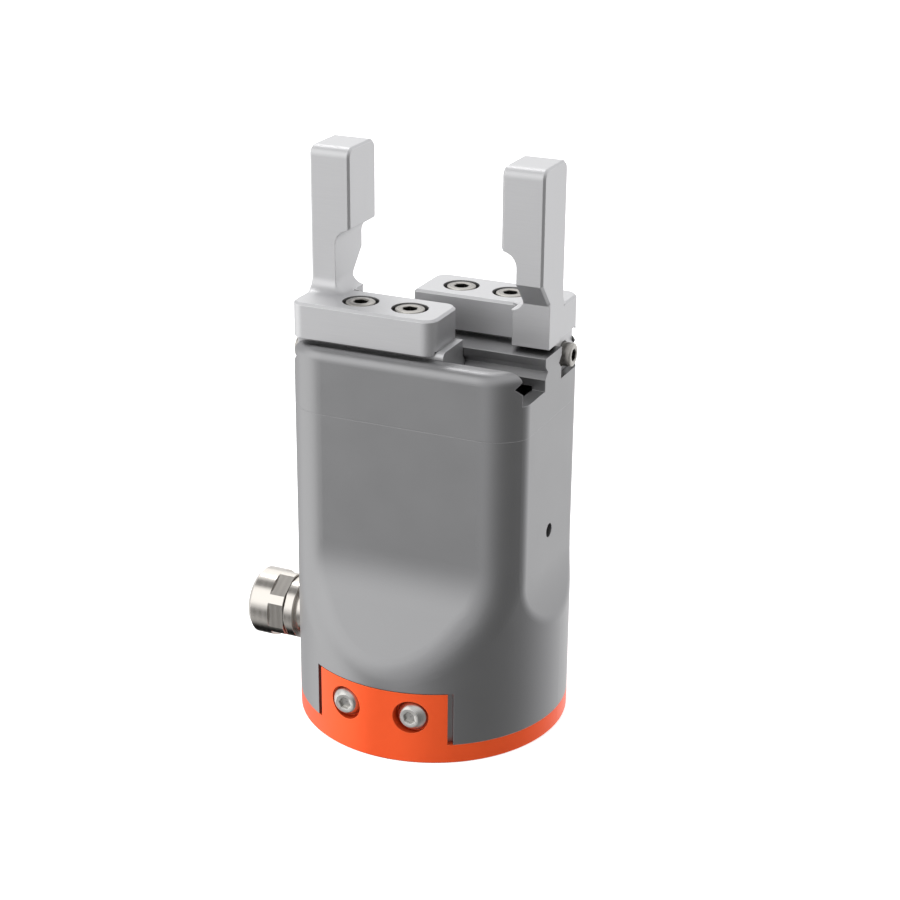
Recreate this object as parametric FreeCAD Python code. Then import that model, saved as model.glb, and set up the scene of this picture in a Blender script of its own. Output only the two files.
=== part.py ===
import FreeCAD
import Part
import math
import os

V = FreeCAD.Vector
ORIGIN = V(0, 0, 0)
UP = V(0, 0, 1)

# Frame: origin at the centre of the base underside, +Z up, X is the jaw travel, front faces -Y

# Mounting base, fits a 50 mm bolt circle tool flange
BASE_R = 31.5
BASE_PLATE_H = 4.65
BASE_CHAMFER = 0.3
BOLT_CIRCLE_R = 25.0
BOLT_HOLE_R = 3.3
BOLT_HEAD_R = 5.6
BOLT_HEAD_H = 6.6
CENTRING_R = 15.75
CENTRING_DEPTH = 3.0
DOWEL_R = 3.0
SPIGOT_H = 2.85
TAB_TOP_Z = 17.4
TAB_HALF_ANGLE = 30.0
TAB_SKIN = 1.4
TAB_BACK_Y = 26.5
TAB_BLOCK_HALF_W = 13.8
NOTCH_HALF_ANGLE = 32.4
NOTCH_GAP = 0.15
TAB_SCREW_X = 8.0
TAB_SCREW_Z = 11.5
TAB_COUNTERBORE_R = 3.95
TAB_SCREW_HEAD_R = 3.25
TAB_SCREW_HEAD_H = 2.2
TAB_SCREW_SEAT_Y = 28.6
TAB_SCREW_LENGTH = 8.0
TAB_SCREW_KEY_W = 2.5
TAB_SCREW_KEY_DEPTH = 1.3
CROWN_SHARES = ((1.0, 0.16), (0.8, 0.66), (0.52, 1.0))

# Outer body
SEAM_Z = 75.5
HEAD_H = 15.0
SIDE_FLAT_X = 28.07
FRONT_FLAT_Y = 20.0
FRONT_SCOOP_Z = 45.5
SIDE_SCOOP_Z = 40.0
SCOOP_R = 21.0
SCOOP_SLOPE = 33.0
CORNER_R = 10.8
SIDE_SOFT_R = 4.0
TOP_EDGE_R = 2.7

# Inner spaces of the lower housing
LOWER_BAY_R = 19.0
LOWER_BAY_TOP_Z = 24.0
MOTOR_BAY_R = 15.6
REGISTER_R = 17.1
REGISTER_DEPTH = 5.0
HEAD_SCREW_X = 19.5
HEAD_SCREW_Y = 16.0
HEAD_SCREW_SEAT_DROP = 9.5
HEAD_SCREW_BORE_R = 2.9
HEAD_SCREW_LENGTH = 14.0
SIDE_THREAD_Z = 48.5
SIDE_THREAD_R = 1.65
SIDE_THREAD_DEPTH = 7.0

# Guide head
CHANNEL_INNER_Y = 4.75
CHANNEL_OUTER_Y = 15.55
CHANNEL_DEPTH = 7.4
GROOVE_DROP = 3.3
GROOVE_DEPTH = 1.5
POCKET_HALF_X = 25.0
POCKET_HALF_Y = 13.4
POCKET_FLOOR_H = 3.1
POCKET_ROOF_H = 8.5

# Sliders
SLIDER_SIDE_GAP = 0.15
SLIDER_FLOOR_GAP = 0.1
GUIDE_PLAY = 0.03
RIDGE_TIP = 0.3
SLIDER_RISE = 1.75
SLIDER_INNER_END = 8.7
SLIDER_OUTER_END = 26.4
SLIDER_EDGE_R = 1.2

# Jaws, in the open position
PLATE_LIFT = 1.0
PLATE_T = 8.0
PLATE_INNER_Y = 3.1
PLATE_OUTER_Y = 17.1
PLATE_INNER_END = 7.0
JAW_OUTER_X = 27.5
PLATE_CORNER_R = 3.0
FRONT_PLATE_TIP_R = 2.8
REAR_PLATE_TIP_R = 0.7
PLATE_CHAMFER = 0.55
FINGER_HALF_W = 6.55
FINGER_H = 32.4
PAD_X = 17.9
PAD_H = 18.15
UNDERCUT_R = 3.5
POST_INNER_X = 21.5
ROOT_FILLET_R = 3.0
BLOCK_INNER_X = 18.8
BLOCK_FACE_Y = 1.65
SLANT_TOP_H = 7.3
SLANT_BOTTOM_H = 1.8
BLOCK_RELIEF_R = 1.75
FINGER_TOP_R = 2.15
FINGER_CHAMFER = 0.5
JAW_SCREW_X = (13.5, 1.6)
JAW_COUNTERBORE_R = 4.1
JAW_SCREW_LENGTH = 10.0
JAW_SCREW_HEAD_R = 3.5
JAW_SCREW_HEAD_H = 4.0
JAW_SCREW_KEY_W = 3.0
JAW_SCREW_KEY_DEPTH = 2.0
END_SCREW_DROP = 3.5
END_SCREW_HEAD_R = 2.7
END_SCREW_SEAT_X = 25.93
END_SCREW_LENGTH = 6.0

# Rack drive
MODULE = 1.0
PINION_TEETH = 16
RACK_ADDENDUM = 0.9
DEDENDUM = 1.15
RACK_H = 4.2
RACK_BACK_Y = 13.2
RACK_OUTER_END = 24.5
RACK_INNER_END = 6.0
RACK_BACKLASH = 0.06
RACK_SCREW_X = (17.5, 5.5)
RACK_SCREW_Y = 11.3
RACK_SCREW_SINK = 1.3
RACK_SCREW_HEAD_R = 1.65
RACK_SCREW_HEAD_H = 1.2
RACK_SCREW_KEY_DEPTH = 0.7
RACK_SCREW_LENGTH = 6.0
PINION_HUB_H = 3.2
PINION_BORE_R = 9.4
PINION_HUB_R = 5.0

# Output shaft and its two bearings
OUTPUT_SHAFT_R = 3.0
SHAFT_STEP = 1.0
TOP_JOURNAL_R = 1.5
TOP_BEARING_R = 3.5
TOP_BEARING_W = 2.0
OUTPUT_BEARING_R = 7.5
OUTPUT_BEARING_W = 5.0
RING_SHARE = 0.28
SEAL_T = 0.4
BEARING_LEDGE = 1.0

# Planetary gearbox
BOX_MODULE = 0.5
SUN_TEETH = 12
PLANET_TEETH = 18
RING_TEETH = 48
PLANETS = 3
BOX_ADDENDUM = 0.85
BOX_DEDENDUM = 1.2
BOX_BACKLASH = 0.05
BOX_R = 14.5
BOX_BORE_R = 13.1
PLANET_DROP = 18.9
PLANET_FACE = 5.0
PLANET_PIN_R = 1.0
CARRIER_R = 10.4
CARRIER_H = 3.5

# Motor
MOTOR_TOP_DROP = 21.5
MOTOR_L = 28.0
MOTOR_R = 14.5
MOTOR_WALL = 1.0
MOTOR_END_T = 3.6
MOTOR_SPIGOT_H = 1.6
MOTOR_SHAFT_R = 1.5
MOTOR_BEARING_R = 4.0
MOTOR_BEARING_W = 2.8
ROTOR_R = 7.9
STATOR_BORE_R = 8.3
STATOR_TEETH = 9
STATOR_TOOTH_W = 2.2
STATOR_YOKE = 1.6
SHOE_T = 1.0
COIL_T = 0.75
COIL_OVERHANG = 1.6
STACK_LIFT = 5.5
STACK_H = 17.0

# Encoder
ENCODER_BOARD_R = 13.0
ENCODER_BOARD_DROP = 8.4
ENCODER_CHIP_W = 5.0
ENCODER_CHIP_H = 1.2
ENCODER_SPOT_R = 11.0
MAGNET_R = 3.0
MAGNET_H = 3.0
MAGNET_GAP = 1.0
MAGNET_SINK = 1.5

# Driver board and what it carries
BOARD_T = 1.6
DRIVER_BOARD_R = 17.4
DRIVER_BOARD_FLAT_X = 14.5
DRIVER_SPOT_R = 14.0
SPACER_H = 1.9
STANDOFF_R = 1.9
CHIP_H = 1.1
PROCESSOR_W = 7.0
SWITCH_W = 3.2
SWITCH_L = 4.2
SWITCH_X = (5.5, 9.3)
SWITCH_Y = (-3.5, 1.5, 6.5)
SOCKET_X = 13.0
SOCKET_Y = -3.9
SOCKET_W = 3.5
SOCKET_L = 11.0
SOCKET_H = 4.0
CAPACITOR_R = 2.4
CAPACITOR_H = 4.6
CAPACITOR_SPOTS = ((-5.0, -10.5), (1.5, -11.0), (-5.5, 9.5))

# Connector on the left side, X counted outwards
CONNECTOR_Z = 16.3
CONNECTOR_SEAT_X = 19.5
CONNECTOR_TAIL = 3.4
CONNECTOR_NECK_R = 6.0
CONNECTOR_WALL = 1.0
CONNECTOR_SLEEVE_R = 6.7
CONNECTOR_SPOT_R = 8.5
CONNECTOR_SPOT_DEPTH = 1.6
CONNECTOR_COLLAR_R = 7.35
CONNECTOR_COLLAR_X = 35.2
CONNECTOR_COLLAR_END_X = 37.3
GASKET_INSET = 0.35
CONNECTOR_HEX_X = 37.9
CONNECTOR_HEX_END_X = 42.0
CONNECTOR_HEX_W = 15.2
CONNECTOR_HEX_CROWN_R = 8.35
CONNECTOR_END_X = 46.8
CONNECTOR_BARREL_R = 8.1
CONNECTOR_SOCKET_R = 6.3
CONNECTOR_LIP = 0.5
CONNECTOR_INSERT_SINK = 0.4
CONNECTOR_NUT_W = 14.0
CONNECTOR_NUT_T = 2.4
CONTACT_R = 0.5
CONTACT_RING_R = 2.9
CONTACT_RING_COUNT = 7
CONTACT_REACH = 2.8

# Screw sizes
M2_R = 1.0
M2_HEAD_R = 1.9
M2_HEAD_H = 1.6
M2_KEY_W = 1.5
M2_KEY_DEPTH = 0.9
M2_NUT_W = 4.0
M2_NUT_H = 1.6
M2_TAP_DEPTH = 2.6
M3_R = 1.5
M3_HEAD_R = 2.75
M3_HEAD_H = 3.0
M3_KEY_W = 2.5
M3_KEY_DEPTH = 1.5
M4_R = 2.0
SCREW_CHAMFER = 0.25

# Clearances, and the reach of tools past a face
THREAD_GAP = 0.03
PRESS_GAP = 0.01
SPIN_GAP = 0.05
SEAT_GAP = 0.1
HOLE_PLAY = 0.2
TAP_EXTRA = 0.4
OVERCUT = 2.0
MATCH = 0.02

# Sizes that follow from the ones above
PRESSURE = math.radians(20)
NOTCH_TOP_Z = TAB_TOP_Z + NOTCH_GAP
TAB_THREAD_END_Y = TAB_SCREW_LENGTH + TAP_EXTRA - TAB_SCREW_SEAT_Y
BODY_TOP_Z = SEAM_Z + HEAD_H
CHANNEL_FLOOR_Z = BODY_TOP_Z - CHANNEL_DEPTH
GROOVE_Z = BODY_TOP_Z - GROOVE_DROP
POCKET_FLOOR_Z = SEAM_Z + POCKET_FLOOR_H
POCKET_ROOF_Z = SEAM_Z + POCKET_ROOF_H
REGISTER_Z = SEAM_Z - REGISTER_DEPTH
HEAD_SCREW_SEAT_Z = SEAM_Z - HEAD_SCREW_SEAT_DROP
SLIDER_TOP_Z = BODY_TOP_Z + SLIDER_RISE
SLIDER_FLOOR_Z = CHANNEL_FLOOR_Z + SLIDER_FLOOR_GAP
SLIDER_INNER_Y = CHANNEL_INNER_Y + SLIDER_SIDE_GAP
SLIDER_OUTER_Y = CHANNEL_OUTER_Y - SLIDER_SIDE_GAP
JAW_Y = -(CHANNEL_INNER_Y + CHANNEL_OUTER_Y) / 2
PLATE_Z = BODY_TOP_Z + PLATE_LIFT
PLATE_TOP_Z = PLATE_Z + PLATE_T
FINGER_TOP_Z = PLATE_TOP_Z + FINGER_H
PAD_BOTTOM_Z = FINGER_TOP_Z - PAD_H
SLANT_TOP_Z = PLATE_TOP_Z + SLANT_TOP_H
SLANT_BOTTOM_Z = PLATE_TOP_Z + SLANT_BOTTOM_H
JAW_SCREW_SEAT_Z = PLATE_TOP_Z - JAW_SCREW_HEAD_H
END_SCREW_Z = BODY_TOP_Z - END_SCREW_DROP
RACK_Z = SLIDER_FLOOR_Z - RACK_H
RACK_SCREW_SEAT_Z = RACK_Z + RACK_SCREW_SINK
PINION_PITCH_R = MODULE * PINION_TEETH / 2
PINION_TOP_Z = SLIDER_FLOOR_Z - SEAT_GAP
PINION_Z = RACK_Z - SEAT_GAP
PINION_HUB_Z = PINION_Z - PINION_HUB_H
OUTPUT_BEARING_Z = SEAM_Z - OUTPUT_BEARING_W
ORBIT_R = BOX_MODULE * (SUN_TEETH + PLANET_TEETH) / 2
PLANET_Z = SEAM_Z - PLANET_DROP
PLANET_TOP_Z = PLANET_Z + PLANET_FACE
CARRIER_Z = PLANET_TOP_Z + 3 * SEAT_GAP
PLANET_ANGLES = [360 / PLANETS * k for k in range(PLANETS)]
MOTOR_TOP_Z = SEAM_Z - MOTOR_TOP_DROP
MOTOR_Z = MOTOR_TOP_Z - MOTOR_L
MOTOR_INNER_R = MOTOR_R - MOTOR_WALL
STACK_Z = MOTOR_Z + STACK_LIFT
STACK_TOP_Z = STACK_Z + STACK_H
ENCODER_BOARD_Z = MOTOR_Z - ENCODER_BOARD_DROP
ENCODER_TOP_Z = ENCODER_BOARD_Z + BOARD_T
MAGNET_Z = ENCODER_TOP_Z + ENCODER_CHIP_H + MAGNET_GAP
SPIGOT_TOP_Z = BASE_PLATE_H + SPIGOT_H
DRIVER_BOARD_Z = SPIGOT_TOP_Z + SPACER_H
DRIVER_TOP_Z = DRIVER_BOARD_Z + BOARD_T


# Basic shapes

def box(x0, x1, y0, y1, z0, z1):
    return Part.makeBox(x1 - x0, y1 - y0, z1 - z0, V(x0, y0, z0))


def rod(radius, z0, z1, x=0.0, y=0.0):
    return Part.makeCylinder(radius, z1 - z0, V(x, y, z0))


def rod_x(radius, x0, x1, y, z):
    return Part.makeCylinder(radius, x1 - x0, V(x0, y, z), V(1, 0, 0))


def rod_y(radius, y0, y1, x, z):
    return Part.makeCylinder(radius, y1 - y0, V(x, y0, z), V(0, 1, 0))


def tube(outer, inner, z0, z1, x=0.0, y=0.0):
    return rod(outer, z0, z1, x, y).cut(rod(inner, z0 - OVERCUT, z1 + OVERCUT, x, y))


def face_of(points):
    return Part.Face(Part.makePolygon(points + [points[0]]))


def prism_x(points, x0, x1):
    return face_of([V(x0, y, z) for y, z in points]).extrude(V(x1 - x0, 0, 0))


def prism_z(points, z0, z1):
    return face_of([V(x, y, z0) for x, y in points]).extrude(V(0, 0, z1 - z0))


def hexagon(across_flats, z0, z1):
    corners = [polar(across_flats / math.sqrt(3), math.radians(60 * k)) for k in range(6)]
    return prism_z([(corner.x, corner.y) for corner in corners], z0, z1)


def turned(shape, angle, axis=UP):
    copy = shape.copy()
    copy.rotate(ORIGIN, axis, angle)
    return copy


def moved(shape, x=0.0, y=0.0, z=0.0):
    copy = shape.copy()
    copy.translate(V(x, y, z))
    return copy


def fused(shapes):
    return shapes[0].multiFuse(shapes[1:]).removeSplitter()


def polar(radius, angle):
    return V(radius * math.cos(angle), radius * math.sin(angle), 0)


def mirrored_spots(x, y):
    return [(x, y), (-x, y), (-x, -y), (x, -y)]


def three_spots(radius, first_angle):
    spots = [polar(radius, math.radians(first_angle + 120 * k)) for k in range(3)]
    return [(spot.x, spot.y) for spot in spots]


def edge_samples(edge):
    span = edge.LastParameter - edge.FirstParameter
    return [edge.valueAt(edge.FirstParameter + span * share) for share in (0.1, 0.5, 0.9)]


def edges_where(shape, test):
    return [edge for edge in shape.Edges if all(test(point) for point in edge_samples(edge))]


def near(value, target):
    return abs(value - target) < MATCH


BOLT_SPOTS = mirrored_spots(BOLT_CIRCLE_R * math.sqrt(0.5), BOLT_CIRCLE_R * math.sqrt(0.5))
HEAD_SCREW_SPOTS = mirrored_spots(HEAD_SCREW_X, HEAD_SCREW_Y)
ENCODER_SPOTS = three_spots(ENCODER_SPOT_R, 30)
DRIVER_SPOTS = three_spots(DRIVER_SPOT_R, 90)


# Screws stand with the head seat at z = 0 and the shank towards -Z

def cap_screw(thread_r, length, head_r, head_h, key_width, key_depth):
    head = rod(head_r, 0, head_h)
    shank = rod(thread_r - THREAD_GAP, -length, 0)
    key = hexagon(key_width, head_h - key_depth, head_h)
    return fused([head, shank]).cut(key)


def with_soft_rim(screw, head_r, head_h):
    rim = edges_where(screw, lambda p: near(p.z, head_h) and near(math.hypot(p.x, p.y), head_r))
    return screw.makeChamfer(SCREW_CHAMFER, rim)


# The crown of the button head is two cones that follow its arc

def button_screw(thread_r, length, head_r, head_h, key_width, key_depth):
    crown = [(head_r * across, head_h * up) for across, up in CROWN_SHARES]
    face = face_of([V(r, 0, z) for r, z in [(0, 0), (head_r, 0)] + crown + [(0, head_h)]])
    head = face.revolve(ORIGIN, UP, 360)
    shank = rod(thread_r - THREAD_GAP, -length, 0)
    key = hexagon(key_width, head_h - key_depth, head_h)
    return fused([head, shank]).cut(key)


# Gear outlines with involute flanks

def involute(angle):
    return math.tan(angle) - angle


def gear(teeth, module, tip_r, root_r, half_angle, z0, z1, turn=0.0):
    base_r = module * teeth / 2 * math.cos(PRESSURE)
    start_r = max(base_r, root_r)
    middle_r = (start_r + tip_r) / 2
    step = 2 * math.pi / teeth

    def offset(radius):
        return half_angle + involute(PRESSURE) - involute(math.acos(min(1.0, base_r / radius)))

    edges = []
    for k in range(teeth):
        centre = turn + k * step
        after = centre + step
        rise = [polar(r, centre - offset(r)) for r in (start_r, middle_r, tip_r)]
        fall = [polar(r, centre + offset(r)) for r in (tip_r, middle_r, start_r)]
        foot = polar(root_r, centre + offset(start_r))
        next_foot = polar(root_r, after - offset(start_r))
        next_start = polar(start_r, after - offset(start_r))
        edges.append(Part.Arc(*rise).toShape())
        edges.append(Part.Arc(rise[-1], polar(tip_r, centre), fall[0]).toShape())
        edges.append(Part.Arc(*fall).toShape())
        if base_r > root_r:
            edges.append(Part.makeLine(fall[-1], foot))
        edges.append(Part.Arc(foot, polar(root_r, centre + step / 2), next_foot).toShape())
        if base_r > root_r:
            edges.append(Part.makeLine(next_foot, next_start))
    return moved(Part.Face(Part.Wire(edges)).extrude(V(0, 0, z1 - z0)), z=z0)


# Sealed ball bearing: the outer ring carries the seals, which hide the balls

def bearing(bore_r, outer_r, z0, width):
    wall = (outer_r - bore_r) * RING_SHARE
    lip_r = bore_r + wall + SPIN_GAP
    outline = [(outer_r, 0), (outer_r, width), (lip_r, width), (lip_r, width - SEAL_T),
               (outer_r - wall, width - SEAL_T), (outer_r - wall, SEAL_T), (lip_r, SEAL_T), (lip_r, 0)]
    outer = face_of([V(r, 0, z0 + z) for r, z in outline]).revolve(ORIGIN, UP, 360)
    return outer, tube(bore_r + wall, bore_r + PRESS_GAP, z0, z0 + width)


# Outer body with flats that scoop out into the round foot

def scoop_cutter(flat, start_z):
    slope = math.radians(SCOOP_SLOPE)
    centre = flat + SCOOP_R
    high = BODY_TOP_Z + OVERCUT
    reach = (BASE_R + OVERCUT - flat) / math.sin(slope)

    def on_arc(angle):
        return V(0, centre - SCOOP_R * math.cos(angle), start_z - SCOOP_R * math.sin(angle))

    top = V(0, flat, high)
    start = on_arc(0)
    end = on_arc(slope)
    low = V(0, end.y + reach * math.sin(slope), end.z - reach * math.cos(slope))
    low_out = V(0, low.y + OVERCUT, low.z)
    high_out = V(0, low_out.y, high)
    edges = [Part.makeLine(top, start), Part.Arc(start, on_arc(slope / 2), end).toShape()]
    corners = [end, low, low_out, high_out, top]
    edges += [Part.makeLine(a, b) for a, b in zip(corners, corners[1:])]
    return moved(Part.Face(Part.Wire(edges)).extrude(V(4 * BASE_R, 0, 0)), x=-2 * BASE_R)


def make_outer_body():
    body = rod(BASE_R, BASE_PLATE_H, BODY_TOP_Z)
    front = scoop_cutter(FRONT_FLAT_Y, FRONT_SCOOP_Z)
    side = scoop_cutter(SIDE_FLAT_X, SIDE_SCOOP_Z)
    body = body.cut([front, turned(front, 180)])

    def on_foot(point):
        return near(math.hypot(point.x, point.y), BASE_R) and abs(point.y) > BASE_R / 4

    def is_rim(edge):
        return edge.BoundBox.ZLength > 1 and edge.BoundBox.ZMin > BASE_PLATE_H + 1

    body = body.makeFillet(CORNER_R, [edge for edge in edges_where(body, on_foot) if is_rim(edge)])
    body = body.cut([turned(side, 90), turned(side, -90)])
    soft = [edge for edge in edges_where(body, lambda p: abs(p.x) > SIDE_FLAT_X - MATCH)
            if is_rim(edge) and edge.BoundBox.YLength < BASE_R]
    return body.makeFillet(SIDE_SOFT_R, soft)


# Mounting base with its two screw tabs

def sector(radius, half_angle, z0, z1):
    reach = 2 * radius
    side = reach * math.sin(math.radians(half_angle))
    depth = -reach * math.cos(math.radians(half_angle))
    return rod(radius, z0, z1).common(prism_z([(0, 0), (-side, depth), (side, depth)], z0, z1))


def make_tab():
    skin = sector(BASE_R, TAB_HALF_ANGLE, BASE_PLATE_H / 2, TAB_TOP_Z)
    skin = skin.cut(rod(BASE_R - TAB_SKIN, 0, TAB_TOP_Z))
    block = box(-TAB_BLOCK_HALF_W, TAB_BLOCK_HALF_W, -BASE_R, -TAB_BACK_Y, BASE_PLATE_H / 2, TAB_TOP_Z)
    tools = []
    for x in (-TAB_SCREW_X, TAB_SCREW_X):
        tools.append(rod_y(TAB_COUNTERBORE_R, -BASE_R, -TAB_SCREW_SEAT_Y, x, TAB_SCREW_Z))
        tools.append(rod_y(M4_R + HOLE_PLAY, -BASE_R, -TAB_BACK_Y, x, TAB_SCREW_Z))
    return fused([skin, block.common(rod(BASE_R, 0, TAB_TOP_Z))]).cut(tools)


def make_base():
    plate = rod(BASE_R, 0, BASE_PLATE_H)
    plate = plate.makeChamfer(BASE_CHAMFER, edges_where(plate, lambda p: near(p.z, 0)))
    spigot = rod(LOWER_BAY_R - SEAT_GAP, BASE_PLATE_H, SPIGOT_TOP_Z)
    tab = make_tab()
    tools = [rod(CENTRING_R, 0, CENTRING_DEPTH), rod(DOWEL_R, 0, BASE_PLATE_H, BOLT_CIRCLE_R, 0)]
    tools += [rod(BOLT_HOLE_R, 0, SPIGOT_TOP_Z, x, y) for x, y in BOLT_SPOTS]
    tools += [rod(M2_R, SPIGOT_TOP_Z - M2_TAP_DEPTH, SPIGOT_TOP_Z, x, y) for x, y in DRIVER_SPOTS]
    return fused([plate, spigot, tab, turned(tab, 180)]).cut(tools)


def make_tab_screws():
    screw = button_screw(M4_R, TAB_SCREW_LENGTH, TAB_SCREW_HEAD_R, TAB_SCREW_HEAD_H,
                         TAB_SCREW_KEY_W, TAB_SCREW_KEY_DEPTH)
    screw = turned(screw, 90, V(1, 0, 0))
    front = [moved(screw, x, -TAB_SCREW_SEAT_Y, TAB_SCREW_Z) for x in (-TAB_SCREW_X, TAB_SCREW_X)]
    return Part.Compound(front + [turned(part, 180) for part in front])


# Lower housing

def tab_notch():
    ring = sector(BASE_R + OVERCUT, NOTCH_HALF_ANGLE, BASE_PLATE_H, NOTCH_TOP_Z)
    ring = ring.cut(rod(BASE_R - TAB_SKIN - SEAT_GAP, BASE_PLATE_H, NOTCH_TOP_Z))
    half = TAB_BLOCK_HALF_W + SEAT_GAP
    deep = box(-half, half, -BASE_R - OVERCUT, SEAT_GAP / 2 - TAB_BACK_Y, BASE_PLATE_H, NOTCH_TOP_Z)
    threads = [rod_y(M4_R, -TAB_BACK_Y, TAB_THREAD_END_Y, x, TAB_SCREW_Z)
               for x in (-TAB_SCREW_X, TAB_SCREW_X)]
    return [ring, deep] + threads


def make_lower_housing(outer_body):
    shell = outer_body.common(rod(BASE_R + OVERCUT, BASE_PLATE_H, SEAM_Z))
    tools = [
        rod(LOWER_BAY_R, BASE_PLATE_H, LOWER_BAY_TOP_Z),
        rod(MOTOR_BAY_R, LOWER_BAY_TOP_Z, REGISTER_Z),
        rod(REGISTER_R, REGISTER_Z, SEAM_Z),
        rod_x(CONNECTOR_NECK_R + THREAD_GAP, -BASE_R, -LOWER_BAY_R / 2, 0, CONNECTOR_Z),
        rod_x(CONNECTOR_SPOT_R, -BASE_R - OVERCUT, CONNECTOR_SPOT_DEPTH - BASE_R, 0, CONNECTOR_Z),
        box(-CONNECTOR_SEAT_X, -LOWER_BAY_R / 2, -CONNECTOR_SPOT_R, CONNECTOR_SPOT_R,
            CONNECTOR_Z - CONNECTOR_SPOT_R, LOWER_BAY_TOP_Z),
        rod_x(SIDE_THREAD_R, SIDE_FLAT_X - SIDE_THREAD_DEPTH, SIDE_FLAT_X, 0, SIDE_THREAD_Z),
    ]
    notch = tab_notch()
    tools += notch + [turned(tool, 180) for tool in notch]
    tools += [rod(BOLT_HEAD_R, BASE_PLATE_H, BASE_PLATE_H + BOLT_HEAD_H, x, y) for x, y in BOLT_SPOTS]
    for x, y in HEAD_SCREW_SPOTS:
        tools.append(rod(HEAD_SCREW_BORE_R, BASE_PLATE_H, HEAD_SCREW_SEAT_Z, x, y))
        tools.append(rod(M3_R + HOLE_PLAY, HEAD_SCREW_SEAT_Z, SEAM_Z, x, y))
    return shell.cut(tools)


# Head block with two V guided channels

def guide_groove(edge_y, tip_y):
    half = abs(edge_y - tip_y)
    outline = [(edge_y, GROOVE_Z - half), (tip_y, GROOVE_Z), (edge_y, GROOVE_Z + half)]
    return prism_x(outline, -BASE_R, BASE_R)


def make_head_block(outer_body):
    block = outer_body.common(rod(BASE_R + OVERCUT, SEAM_Z, BODY_TOP_Z))
    channel = box(-BASE_R, BASE_R, -CHANNEL_OUTER_Y, -CHANNEL_INNER_Y, CHANNEL_FLOOR_Z, BODY_TOP_Z)
    block = block.cut([channel, turned(channel, 180)])

    def on_wall_rim(point):
        return near(point.z, BODY_TOP_Z) and abs(point.y) > CHANNEL_OUTER_Y + MATCH

    block = block.makeFillet(TOP_EDGE_R, edges_where(block, on_wall_rim))
    grooves = [guide_groove(-CHANNEL_INNER_Y, GROOVE_DEPTH - CHANNEL_INNER_Y),
               guide_groove(-CHANNEL_OUTER_Y, -CHANNEL_OUTER_Y - GROOVE_DEPTH)]
    tools = grooves + [turned(groove, 180) for groove in grooves]
    tools += [
        box(-POCKET_HALF_X, POCKET_HALF_X, -POCKET_HALF_Y, POCKET_HALF_Y, POCKET_FLOOR_Z, POCKET_ROOF_Z),
        rod(PINION_BORE_R, SEAM_Z, POCKET_ROOF_Z),
        rod(TOP_BEARING_R + PRESS_GAP, POCKET_ROOF_Z, POCKET_ROOF_Z + TOP_BEARING_W + SEAT_GAP),
    ]
    tap_end = HEAD_SCREW_SEAT_Z + HEAD_SCREW_LENGTH + TAP_EXTRA
    tools += [rod(M3_R, SEAM_Z, tap_end, x, y) for x, y in HEAD_SCREW_SPOTS]
    return block.cut(tools)


def make_head_screws():
    screw = cap_screw(M3_R, HEAD_SCREW_LENGTH, M3_HEAD_R, M3_HEAD_H, M3_KEY_W, M3_KEY_DEPTH)
    screw = turned(screw, 180, V(1, 0, 0))
    return Part.Compound([moved(screw, x, y, HEAD_SCREW_SEAT_Z) for x, y in HEAD_SCREW_SPOTS])


# Front jaw pieces are drawn at -Y; the rear ones are the same turned by half a turn

def make_slider():
    bar = box(-SLIDER_OUTER_END, SLIDER_INNER_END, -SLIDER_OUTER_Y, -SLIDER_INNER_Y,
              SLIDER_FLOOR_Z, SLIDER_TOP_Z)
    shoulder = edges_where(bar, lambda p: near(p.y, -SLIDER_OUTER_Y) and near(p.z, SLIDER_TOP_Z))
    bar = bar.makeFillet(SLIDER_EDGE_R, shoulder)
    half = GROOVE_DEPTH - SLIDER_SIDE_GAP - GUIDE_PLAY * math.sqrt(2)
    ridge = [(0, half), (RIDGE_TIP - half, RIDGE_TIP), (RIDGE_TIP - half, -RIDGE_TIP), (0, -half)]
    outer_ridge = [(y - SLIDER_OUTER_Y, GROOVE_Z + z) for y, z in ridge]
    inner_ridge = [(-SLIDER_INNER_Y - y, GROOVE_Z + z) for y, z in ridge]
    bar = fused([bar, prism_x(outer_ridge, -SLIDER_OUTER_END, SLIDER_INNER_END),
                 prism_x(inner_ridge, -SLIDER_OUTER_END, SLIDER_INNER_END)])
    tools = [rod_x(M3_R, -END_SCREW_SEAT_X, END_SCREW_LENGTH + TAP_EXTRA - END_SCREW_SEAT_X,
                   JAW_Y, END_SCREW_Z),
             rod_x(END_SCREW_HEAD_R + HOLE_PLAY, -SLIDER_OUTER_END, -END_SCREW_SEAT_X, JAW_Y, END_SCREW_Z)]
    for x in JAW_SCREW_X:
        tools.append(rod(M4_R, JAW_SCREW_SEAT_Z - JAW_SCREW_LENGTH - TAP_EXTRA, SLIDER_TOP_Z, -x, JAW_Y))
    for x in RACK_SCREW_X:
        tap_end = RACK_SCREW_SEAT_Z + RACK_SCREW_LENGTH + TAP_EXTRA
        tools.append(rod(M2_R, SLIDER_FLOOR_Z, tap_end, -x, -RACK_SCREW_Y))
    return bar.cut(tools)


def make_end_screw():
    screw = cap_screw(M3_R, END_SCREW_LENGTH, END_SCREW_HEAD_R, M3_HEAD_H, M3_KEY_W, M3_KEY_DEPTH)
    screw = turned(with_soft_rim(screw, END_SCREW_HEAD_R, M3_HEAD_H), -90, V(0, 1, 0))
    return moved(screw, -END_SCREW_SEAT_X, JAW_Y, END_SCREW_Z)


def make_jaw_screws():
    screw = cap_screw(M4_R, JAW_SCREW_LENGTH, JAW_SCREW_HEAD_R, JAW_SCREW_HEAD_H,
                      JAW_SCREW_KEY_W, JAW_SCREW_KEY_DEPTH)
    screw = with_soft_rim(screw, JAW_SCREW_HEAD_R, JAW_SCREW_HEAD_H)
    return Part.Compound([moved(screw, -x, JAW_Y, JAW_SCREW_SEAT_Z) for x in JAW_SCREW_X])


# Face in the XZ plane that starts with an arc and closes through straight corners

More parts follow.
